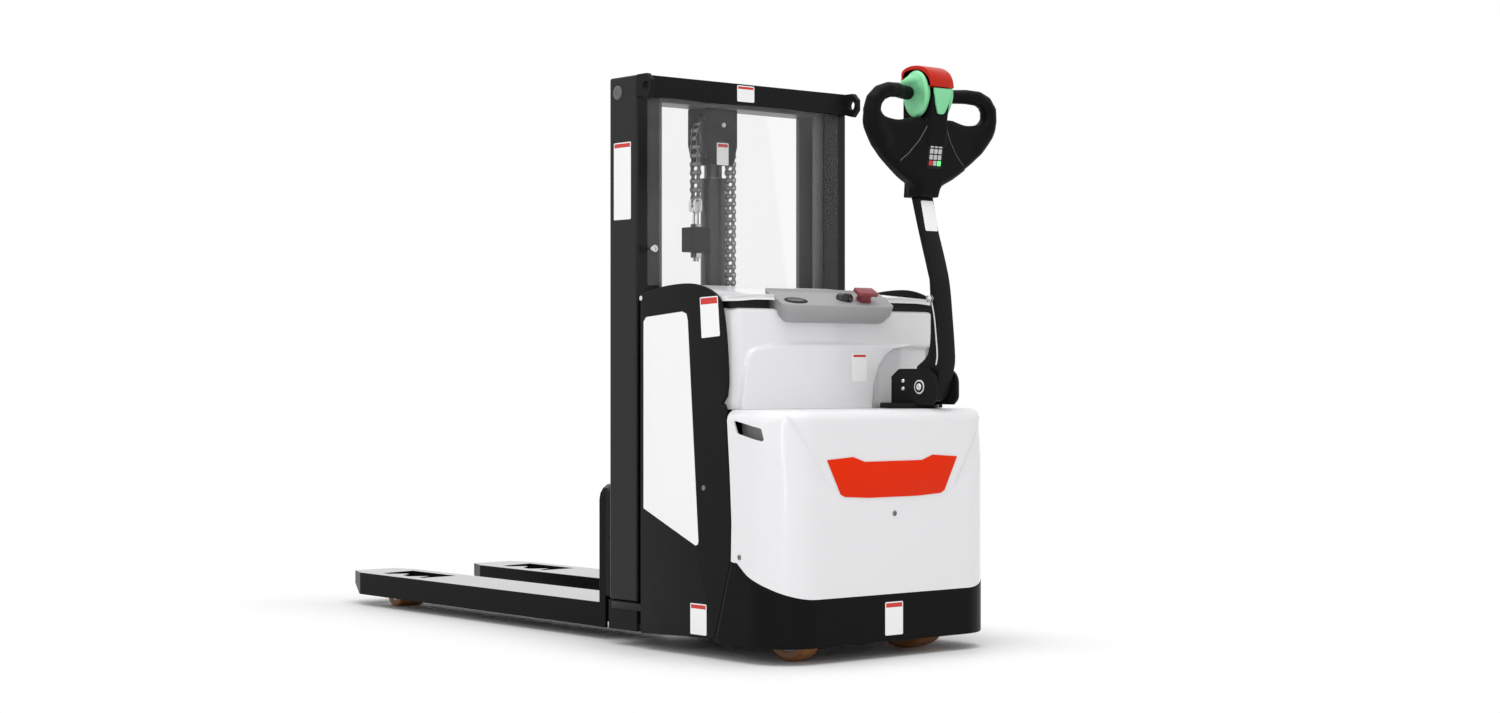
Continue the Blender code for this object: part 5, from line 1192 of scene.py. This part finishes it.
class STACKER_OT_arm(Step, bpy.types.Operator):
    """Bent tiller arm on its turning base, with the fittings at the pivot"""
    bl_idname = "stacker.arm"
    bl_label = "Tiller arm and base"
    makes = ("arm", "base", "pivot", "fittings")

    def arm(self):
        """A side outline of two smooth curves and the hub's arc, carried across the arm's width."""
        a = np.radians(np.linspace(205, 350, 16))
        hub = np.stack([PIVOT_Y + HUB_RADIUS * np.cos(a), PIVOT_Z + HUB_RADIUS * np.sin(a)], 1)
        outline = np.vstack([smooth_line(ARM_FRONT, 5), smooth_line(ARM_REAR, 5), hub,
                             [(-0.4345, 0.620)]])
        piece("arm_bar", [(*slab(outline, ARM_LOW[0], ARM_HIGH[0], 0.0040, "X", 4), black_paint)],
              "tiller", ("tiller_arm",))

    def base(self):
        """A turned disc with a rounded rim on its shaft, and two cheeks with a rounded rear top."""
        radius, low = (BASE_HIGH[0] - BASE_LOW[0]) / 2, COVER_HIGH[2] + 0.0006
        centre = ((BASE_LOW[0] + BASE_HIGH[0]) / 2, BASE_HIGH[1] - radius)
        top = low + 0.012
        disc = [(0, BASE_LOW[2]), (0.018, BASE_LOW[2]), (0.018, low), (radius - 0.002, low),
                (radius, low + 0.002), (radius, top - 0.003), (radius - 0.001, top - 0.001),
                (radius - 0.003, top), (0, top)]
        cheek = rounded([(-0.500, top - 0.004), (-0.369, top - 0.004), (-0.369, 0.624),
                         (-0.394, 0.6415), (-0.5150, 0.6415), (-0.5150, 0.572)],
                        (0.002, 0.002, 0.006, 0.014, 0.048, 0.020), 8)
        parts = [(*turned(disc, "Z", centre, 64), black_paint)]
        for side in SIDES:
            parts.append((*slab(cheek, *span(side, *CHEEK_X, TILLER_X), 0.0012, "X"), black_paint))
        half = CHEEK_X[0] + 0.001
        web = rounded(box_line(TILLER_X - half, TILLER_X + half, top - 0.004, 0.612), 0.002)
        parts.append((*slab(web, -0.386, -0.380, 0.0008, "Y"), black_paint))
        piece("turning_base", parts, "steering", ("tiller_base",))

    def pivot(self):
        """Turned bolt heads and rings on the pivot, and two cheek screws."""
        parts = []
        for side in SIDES:
            face = TILLER_X + side * (CHEEK_X[1] + 0.0070)
            ring = [(r, face + side * h) for r, h in box_line(0.0085, 0.0125, 0.0, 0.0006)]
            parts.append((*turned_ring(ring, (PIVOT_Y, PIVOT_Z), 32), black_plastic))
            parts.append((*fastener((face, PIVOT_Y, PIVOT_Z), "X", side, 0.0084, 0.0030), zinc_steel))
        for z in (0.6135, 0.5960):
            place = (TILLER_X - CHEEK_X[1], -0.4095, z)
            parts.append((*fastener(place, "X", -1, 0.0050, 0.0026), zinc_steel))
        piece("pivot_fittings", parts, "steering")

    def fittings(self):
        """The stop bolt with its hexagon nuts, and a thin bright rod swept along the arm's rear edge,
        which also paints that edge's highlight.
        """
        side = ARM_LOW[0]
        nut = hexagon(STOP_BOLT, 0.0090)
        line = smooth_line([(-0.4900, 0.792), (-0.4975, 0.760), (-0.5035, 0.715), (-0.5075, 0.672),
                            (-0.5035, 0.650)], 6)
        path = np.column_stack([np.full(len(line), side - 0.0016), line])
        shapes = (slab(nut, side - 0.0060, side + 0.0005, 0.0006, "X", 2),
                  slab(nut, side - 0.0125, side - 0.0068, 0.0006, "X", 2),
                  turned(rod(0.0036, side - 0.016, side + 0.002), "X", STOP_BOLT, 16),
                  # bright rod along the arm's rear edge: also a painted highlight of that edge
                  sweep(ring_section(0.0020, 10), path, (1, 0, 0)))
        piece("arm_fittings", [(*shape, zinc_steel) for shape in shapes], "tiller")


# Chain

LINK_EYE, LINK_WAIST, LINK_T = 0.0078, 0.0046, 0.0021
CHAIN_SPREAD = 1.35   # links are wider than the CAD strand by this factor
ROD_RADIUS, YOKE_LIFT = 0.0213, 0.026


def chain_run(count, pitch, node_width):
    """Roller chain of a number of pitches up z from the origin: waisted plate pairs that step in and
    out by turns, and a roller on a pin at each joint."""
    a, b = np.radians(np.linspace(-25, 205, 9)), np.radians(np.linspace(155, 385, 9))
    outline = np.vstack([np.stack([LINK_EYE * np.cos(a), pitch + LINK_EYE * np.sin(a)], 1),
                         [(-LINK_WAIST, pitch / 2)],
                         np.stack([LINK_EYE * np.cos(b), LINK_EYE * np.sin(b)], 1),
                         [(LINK_WAIST, pitch / 2)]])
    half = CHAIN_SPREAD * node_width / 2

    def pair(outer):
        return merged(*[slab(outline, *span(side, outer, outer - LINK_T), 0.0003, "Y", 1)
                        for side in SIDES])

    steps = np.arange(count + 1)[:, None] * np.array([(0.0, 0.0, pitch)])
    pin = turned(rod(0.0027, -half - 0.0004, half + 0.0004), "Y", (0.0, 0.0), 10)
    roller = turned(rod(0.0058, -half + 0.0048, half - 0.0048), "Y", (0.0, 0.0), 14)
    links = merged(repeated(pair(half), steps[1:-1:2]), repeated(pair(half - 0.0024), steps[0:-1:2]),
                   repeated(roller, steps))
    return (*links, dark_steel), (*repeated(pin, steps), zinc_steel)


class STACKER_OT_chain(Step, bpy.types.Operator):
    """Lift chain over the pulley: two hanging strands and the wrap, its anchor bolt and the yoke"""
    bl_idname = "stacker.chain"
    bl_label = "Lift chain"
    makes = ("strands", "wrap", "anchor", "pulley", "yoke")

    def strands(self):
        """Links stacked up each strand, a whole number of pitches fitted to its length."""
        for name, low_body, high_body in (("fixed", "truck", "inner_mast"),
                                          ("lifting", "carriage", "inner_mast")):
            low, high = node_box(name + "_chain_strand")
            x, y, _ = (low + high) / 2
            tall = high[2] - low[2]
            count = max(int(round(tall / sizes().chain_pitch)), 1)
            obj = mesh_object(name + "_strand", [
                (points + (x, y, low[2]), faces, make)
                for points, faces, make in chain_run(count, tall / count, high[1] - low[1])])
            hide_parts(name + "_chain_strand")
            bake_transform(obj)

    def wrap(self):
        """A straight run bent round the pulley: height becomes angle on the pitch circle."""
        low, high = node_box("pulley_chain_wrap")
        x, y, _ = (low + high) / 2
        radius = (high[0] - low[0]) / 2 - 0.0087
        count = int(round(math.pi * radius / sizes().chain_pitch))
        parts = []
        for points, faces, make in chain_run(count, math.pi * radius / count, high[1] - low[1]):
            out, angle = radius + points[:, 0], points[:, 2] / radius
            bent = np.stack([x + out * np.cos(angle), y + points[:, 1], low[2] + out * np.sin(angle)], 1)
            parts.append((bent, faces, make))
        piece("chain_over_pulley", parts, "inner_mast", ("pulley_chain_wrap",))

    def anchor(self):
        """Threaded rod as a turned zigzag, hexagon nuts and a forked clevis."""
        low, high = node_box("chain_anchor_bolt")
        x, y, _ = (low + high) / 2
        rings = 110
        z = np.linspace(low[2], high[2] - 0.030, rings)
        thread = 0.0074 + 0.0004 * (np.arange(rings) % 2)
        bolt = np.vstack([[(0, z[0])], np.stack([thread, z], 1), [(0, z[-1])]])
        block_low, block_high = node_box("chain_anchor_block")
        nut = hexagon((x, y), 0.0142)
        clevis = high[2] - 0.032
        fork = rounded(box_line(x - 0.011, x + 0.011, clevis, high[2]), (0.004, 0.004, 0.009, 0.009))
        shapes = [turned(bolt, "Z", (x, y), 20),
                  slab(nut, block_low[2] - 0.0132, block_low[2] - 0.0004, 0.0010, "Z", 2),
                  slab(nut, block_high[2] + 0.0004, block_high[2] + 0.008, 0.0010, "Z", 2)]
        shapes += [slab(fork, *span(side, 0.0045, 0.013, y), 0.001, "Y", 2) for side in SIDES]
        shapes += [turned(rod(0.0105, clevis - 0.001, clevis + 0.010), "Z", (x, y), 24),
                   turned(rod(0.0045, y - 0.0165, y + 0.0165), "Y", (x, high[2] - 0.012), 16)]
        piece("anchor_rod", [(*shape, zinc_steel) for shape in shapes], "truck",
              ("chain_anchor_bolt",))

    def pulley(self):
        """A grooved wheel: the ring between bore and flanges, with a groove as wide as the links."""
        low, high = node_box("chain_pulley")
        x, y, z = (low + high) / 2
        wrap_low, wrap_high = node_box("pulley_chain_wrap")
        pin_low, pin_high = node_box("pulley_pin")
        bore, rim = (pin_high[0] - pin_low[0]) / 2 + 0.0003, (high[0] - low[0]) / 2
        root, groove, out = (wrap_high[0] - wrap_low[0]) / 2 - 0.0177, 0.0142, 0.0168
        profile = mirrored([(bore, -out), (rim - 0.001, -out), (rim, -groove), (root, -groove)], y, y)
        piece("grooved_wheel", [(*turned_ring(profile, (x, z), 64, "Y"), dark_steel)], "pulley",
              ("chain_pulley",))

    def yoke(self):
        """The rod as a turned bar, black at its top under the yoke as a painted dark reflection in the
        chrome; the gland as a thin ring on the cylinder and two yoke plates that narrow towards their
        feet."""
        low, high = node_box("piston_rod")
        x, y, _ = (low + high) / 2
        gland_low, gland_high = node_box("cylinder_gland")
        foot = node_box("yoke_plate_rear")[0][2] + YOKE_LIFT
        split, under = gland_high[2] + 0.001, foot - 0.0003
        head = box_line(x - 0.024, x + 0.024, under, foot + 0.0045)
        piece("lift_rod", [(*turned(rod(ROD_RADIUS, low[2], split), "Z", (x, y), 48), chromed_rod),
                           # black at the rod's top: painted dark reflection in the chrome
                           (*turned(rod(ROD_RADIUS, split, under), "Z", (x, y), 48), gloss_black),
                           (*slab(head, y - 0.0176, y + 0.0176, 0.001, "Y"), black_paint)],
              "inner_mast", ("piston_rod",))
        ring = [(0.0217, gland_low[2]), (0.0300, gland_low[2]), (0.0300, gland_high[2] - 0.001),
                (0.0290, gland_high[2]), (0.0217, gland_high[2])]
        piece("gland_ring", [(*turned_ring(ring, (x, y), 48, "Z"), gloss_black)], "truck",
              ("cylinder_gland",))
        for label in ("rear", "front"):
            low, high = node_box("yoke_plate_" + label)
            outline = rounded([(low[0] + 0.0125, foot), (high[0] - 0.0125, foot), (high[0], foot + 0.045),
                               (high[0], high[2]), (low[0], high[2]), (low[0], foot + 0.045)], 0.004)
            solid = slab(outline, low[1] - 0.0004, high[1] + 0.0004, 0.0008, "Y")
            piece("yoke_" + label, [(*solid, black_paint)], "inner_mast",
                  ("yoke_plate_" + label,))


# Wheels

def shoulder(radius, edge, count):
    """Half profile of a tyre's rounded shoulder: radius against depth from its face."""
    return [(radius - edge + edge * math.sin(a), edge - edge * math.cos(a)) for a in quarter(count)]


class STACKER_OT_wheels(Step, bpy.types.Operator):
    """Polyurethane tyres on their hubs: drive wheel, castor wheel and load rollers"""
    bl_idname = "stacker.wheels"
    bl_label = "Wheels"
    makes = ("wheels", "rollers")

    def wheels(self):
        """Turned profiles: a tyre with rounded shoulders on a dished hub."""
        for node_name, bore in (("drive_wheel", 0.0165), ("castor_wheel", 0.0105)):
            radius = self.radius(node_name)
            rim, dish = radius * 0.72, 0.010
            tyre = [(rim - 0.002, 0.006), (rim, 0.003), *shoulder(radius, 0.009, 6)]
            hub = [(bore, 0.002), (radius * 0.34, 0.002), (radius * 0.40, dish), (radius * 0.62, dish),
                   (radius * 0.67, 0.005), (rim - 0.001, 0.005)]
            self.rolling(node_name, node_name, 72, (tyre, amber_polyurethane), (hub, dark_steel))

    def rollers(self):
        """Turned rollers with rounded ends and a steel bush."""
        for side in ("left", "right"):
            node_name = side + "_load_roller"
            tyre = [(0.020, 0.0), *shoulder(self.radius(node_name), 0.004, 5)]
            bush = [(0.0083, 0.001), (0.0199, 0.001)]
            self.rolling(node_name, "load_roller_" + side, 56, (tyre, amber_polyurethane),
                         (bush, zinc_steel))

    def radius(self, node_name):
        low, high = node_box(node_name)
        return (high[2] - low[2]) / 2

    def rolling(self, node_name, body, sides, *layers):
        """Rings turned about a wheel's own axis from half profiles."""
        low, high = node_box(node_name)
        centre = ((low + high) / 2)[1:]
        piece(node_name + "_tyre",
              [(*turned_ring(mirrored(half, low[0], high[0]), centre, sides), make)
               for half, make in layers], body, (node_name,))


# Plates and screws on the outside

def plate(outline, face, axis, sign, band=0.0):
    """A thin blank plate on a face, with a plain band along its top where asked."""
    corners = np.asarray(outline, float)
    thick = sizes().plate_thickness
    low, high = sorted((face, face + sign * thick))
    parts = [(*slab(rounded(corners, 0.003, 3), low, high, 0.0001, axis, 1), white_film)]
    if band:
        top, bottom = corners[2:], corners[:2][::-1]
        cut = top + (bottom - top) * band
        strip = drawn_in(np.vstack([cut[::-1], top]), 0.0025)
        low, high = sorted((face, face + sign * (thick + 0.0001)))
        parts.append((*slab(strip, low, high, 0.00005, axis, 1), band_film))
    return parts


class STACKER_OT_plates(Step, bpy.types.Operator):
    """Blank plates where the truck carries its stickers, and the outer screws"""
    bl_idname = "stacker.plates"
    bl_label = "Plates and screws"
    makes = ("plates", "badge", "screws")

    def plates(self):
        """Rounded outlines carried through a film's thickness, each on its face."""
        panel, mast = -(HALF_W - PROUD), LEFT_RAIL[0].x - TRUCK[0]
        bar_face = node_box("mast_screen")[0][1] - 0.008
        yoke = node_box("yoke_plate_rear")[0][1]
        upper = [(-0.3141, 0.7131), (-0.2500, 0.7088), (-0.2436, 0.7995), (-0.3061, 0.8015)]
        truck = []
        for outline, face, axis, band in (
                (box_line(0.022, 0.087, 0.987, 1.166), mast, "X", 0.08),
                (box_line(-0.035, 0.018, 1.277, 1.3155), bar_face, "Y", 0.28),
                (upper, panel, "X", 0.21),
                (box_line(-0.267, -0.210, 0.050, 0.119), panel, "X", 0.2),
                (box_line(0.036, 0.080, 0.612, 0.676), CONSOLE_LOW[1], "Y", 0.16),
                (box_line(-0.030, 0.024, 0.050, 0.124), SKIRT_LOW[1] + PROUD, "Y", 0.2)):
            truck += plate(outline, face, axis, -1, band)
        piece("blank_plates", truck, "truck")
        on_yoke = plate(box_line(-0.060, -0.024, 1.128, 1.181), yoke - 0.0004, "Y", -1, 0.24)
        piece("yoke_blank_plate", on_yoke, "inner_mast")
        on_arm = plate(box_line(TILLER_X - 0.0195, TILLER_X + 0.0195, 0.956, 1.026), 0.0, "Y", -1)
        rear = smooth_line(ARM_REAR, 5)[::-1]
        for points, _, _ in on_arm:
            points[:, 1] += np.interp(points[:, 2], rear[:, 1], rear[:, 0])
        piece("arm_blank_plate", on_arm, "tiller")

    def badge(self):
        """A bare plate: straight flanks, a long notch in its top edge and a bowed foot."""
        half = [(0.0, 0.4365), (0.0875, 0.4365), (0.121, 0.4478), (0.198, 0.4425), (0.158, 0.3665),
                (0.145, 0.3608), (0.075, 0.3568)]
        outline = [(u - 0.004, v) for u, v in half[::-1]] + [(-u - 0.004, v) for u, v in half[1:]]
        low, high = node_box("badge_plate")
        piece("badge_face", [(*slab(outline, low[1], high[1], 0.0006, "Y", 2), orange_badge)], "truck",
              ("badge_plate",))

    def screws(self):
        """Turned screw heads, and the clear screen's stud as a turned profile."""
        parts = [(*fastener((0.0, COVER_LOW[1], 0.320), "Y", -1, 0.0062, 0.0022), dark_steel)]
        panel = HALF_W - PROUD
        for sign in SIDES:
            for out, y, z, radius, height, make in (
                    (COVER_HIGH[0], -0.379, 0.230, 0.0060, 0.0018, dark_steel),
                    (panel, -0.256, 0.377, 0.0060, 0.0006, dark_steel),
                    (panel, -0.0277, 0.803, 0.0055, 0.0006, zinc_steel),
                    (MAST_HALF, 0.073, 1.283, 0.0165, 0.0022, rail_paint_with_screen_reflection)):
                parts.append((*fastener((sign * out, y, z), "X", sign, radius, height), make))
        stud = [(0, -0.024), (0.0032, -0.024), (0.0045, -0.0275), (0.0082, -0.0275), (0.0088, -0.0255),
                (0.0088, -0.0205), (0.0042, -0.0205), (0.0042, -0.004), (0, -0.004)]
        parts.append((*turned(stud, "Y", (-0.293, 0.9184), 24), zinc_steel))
        piece("outer_screws", parts, "truck")
        place = (-0.039, node_box("yoke_plate_rear")[0][1], 1.2237)
        piece("yoke_screw", [(*fastener(place, "Y", -1, 0.0065, 0.003), zinc_steel)], "inner_mast")


# Stage: lamps are given by name, place, aim, size and power

FLOOR_REACH = 40.0
FADE = (0.02, 0.34)   # from and to this far from the footprint the floor turns white
CAMERA_PLACE, CAMERA_SHIFT = (-3.655, -4.374, 0.0), 0.01149
LAMPS = (("overhead", (-0.6, -1.2, 4.2), (0.0, -0.2, 0.4), 3.6, 100.0),
         ("rear fill", (-2.6, -4.6, 2.6), (0.0, -0.8, 0.6), 2.4, 8.0),
         ("left fill", (-4.8, -0.6, 2.4), (-0.2, 0.0, 0.4), 2.6, 22.0))
STRIP_PLACE, STRIP_SIZE, STRIP_POWER = (-4.4, -5.3, 1.6), (0.16, 3.2), 24.0


class STACKER_OT_stage(Step, bpy.types.Operator):
    """Pale floor, soft studio light and the camera"""
    bl_idname = "stacker.stage"
    bl_label = "Stage"
    makes = ("floor", "room", "lamps", "camera")

    def floor(self):
        """A wide plane.  Under and beside the truck it is lit and shaded; away from its footprint it
        turns into the white of the background for rays from the camera and in reflections."""
        mesh = bpy.data.meshes.new("floor")
        corners = box_line(-FLOOR_REACH, FLOOR_REACH, -FLOOR_REACH, FLOOR_REACH)
        mesh.from_pydata([(x, y, 0) for x, y in corners], [], [(0, 1, 2, 3)])
        obj = placed("floor", mesh)
        mat = bpy.data.materials.new("studio floor")
        mat.use_nodes = True
        tree = mat.node_tree
        shader = tree.nodes["Principled BSDF"]
        put(tree, shader, {"Base Color": (*stage().floor, 1.0), "Roughness": 0.6})
        low, high = (np.array(corner) for corner in CAD_BOX)
        value = node(tree, "TexCoord").outputs["Object"]
        for work, other in (("SUBTRACT", (low + high) / 2 * (1, 1, 0)), ("ABSOLUTE", None),
                            ("SUBTRACT", (high - low) / 2 * (1, 1, 0)), ("MAXIMUM", (0.0, 0.0, 0.0))):
            inputs = {0: value} if other is None else {0: value, 1: other}
            value = node(tree, "VectorMath", inputs, operation=work).outputs[0]
        far = node(tree, "VectorMath", {0: value}, operation="LENGTH").outputs["Value"]
        fade = node(tree, "MapRange", {"Value": far, "From Min": FADE[0], "From Max": FADE[1]},
                    interpolation_type="SMOOTHSTEP")
        path = node(tree, "LightPath").outputs
        seen = node(tree, "Math", {0: path["Is Camera Ray"], 1: path["Is Glossy Ray"]},
                    operation="MAXIMUM")
        share = node(tree, "Math", {0: fade.outputs["Result"], 1: seen.outputs[0]}, operation="MULTIPLY")
        mix = node(tree, "MixShader", {0: share.outputs[0], 1: shader.outputs[0],
                                       2: node(tree, "Emission").outputs[0]})
        put(tree, tree.nodes["Material Output"], {"Surface": mix.outputs[0]})
        mesh.materials.append(mat)

    def room(self):
        """White where the camera, a mirror or the clear screen sees it, dimmer as a light."""
        world = bpy.data.worlds.new("studio room")
        bpy.context.scene.world = world
        world.use_nodes = True
        tree = world.node_tree
        path = node(tree, "LightPath").outputs
        clear = node(tree, "Math", {0: path["Is Camera Ray"], 1: path["Is Transmission Ray"]},
                     operation="MAXIMUM")
        shown = node(tree, "Math", {0: clear.outputs[0], 1: path["Is Glossy Ray"]}, operation="MAXIMUM")
        strength = node(tree, "MapRange", {"Value": shown.outputs[0], "To Min": stage().ambient,
                                           "To Max": 1.0})
        put(tree, tree.nodes["Background"], {"Color": (1.0, 1.0, 1.0, 1.0),
                                             "Strength": strength.outputs["Result"]})

    def lamps(self):
        """Three square lamps aimed at the truck, and a tall strip that faces as the camera does."""
        for name, place, aim, size, power in LAMPS:
            data = bpy.data.lights.new(name, "AREA")
            data.size, data.energy = size, power
            obj = placed(name, data)
            obj.location = place
            away = np.subtract(aim, place)
            flat = math.hypot(away[0], away[1])
            obj.rotation_euler = (math.atan2(flat, -away[2]), 0.0,
                                  math.atan2(away[1], away[0]) - math.pi / 2)
        strip = bpy.data.lights.new("strip", "AREA")
        strip.shape = "RECTANGLE"
        strip.size, strip.size_y = STRIP_SIZE
        strip.energy = STRIP_POWER
        obj = placed("strip", strip)
        obj.location = STRIP_PLACE
        obj.rotation_euler = (math.pi / 2, 0.0, stage().turn)

    def camera(self):
        data = bpy.data.cameras.new("camera")
        data.lens = stage().lens
        data.sensor_width = 36.0
        data.sensor_fit = "HORIZONTAL"
        data.shift_y = CAMERA_SHIFT
        data.clip_end = 200.0
        obj = placed("camera", data)
        obj.location = np.array(CAMERA_PLACE) + TRUCK + (0.0, 0.0, stage().camera_height)
        obj.rotation_euler = (math.pi / 2, 0.0, stage().turn)
        bpy.context.scene.camera = obj
        bpy.context.scene.view_settings.view_transform = "Standard"


# Panel and start

STEPS = (STACKER_OT_frame, STACKER_OT_panels, STACKER_OT_rear_covers, STACKER_OT_console,
         STACKER_OT_tray, STACKER_OT_head, STACKER_OT_arm, STACKER_OT_chain, STACKER_OT_wheels,
         STACKER_OT_plates, STACKER_OT_stage)


class STACKER_PT_steps(bpy.types.Panel):
    """Lists the steps that dress the stacker"""
    bl_label = "Stacker"
    bl_idname = "STACKER_PT_steps"
    bl_space_type = "VIEW_3D"
    bl_region_type = "UI"
    bl_category = "Stacker"

    def draw(self, context):
        for step in STEPS:
            self.layout.operator(step.bl_idname)
        for group in (colours(), sizes(), stage()):
            for name in group.__annotations__:
                self.layout.prop(group, name)


GROUPS = {"stacker_colours": StackerColours, "stacker_sizes": StackerSizes,
          "stacker_stage": StackerStage}
CLASSES = (*GROUPS.values(), *STEPS, STACKER_PT_steps)


def register():
    for cls in CLASSES:
        bpy.utils.register_class(cls)
    for name, group in GROUPS.items():
        setattr(bpy.types.Scene, name, PointerProperty(type=group))


def unregister():
    for name in GROUPS:
        delattr(bpy.types.Scene, name)
    for cls in reversed(CLASSES):
        bpy.utils.unregister_class(cls)


def main():
    register()
    for step in STEPS:
        group, name = step.bl_idname.split(".")
        getattr(getattr(bpy.ops, group), name)()
    bpy.context.view_layer.update()


if __name__ == "__main__":
    main()
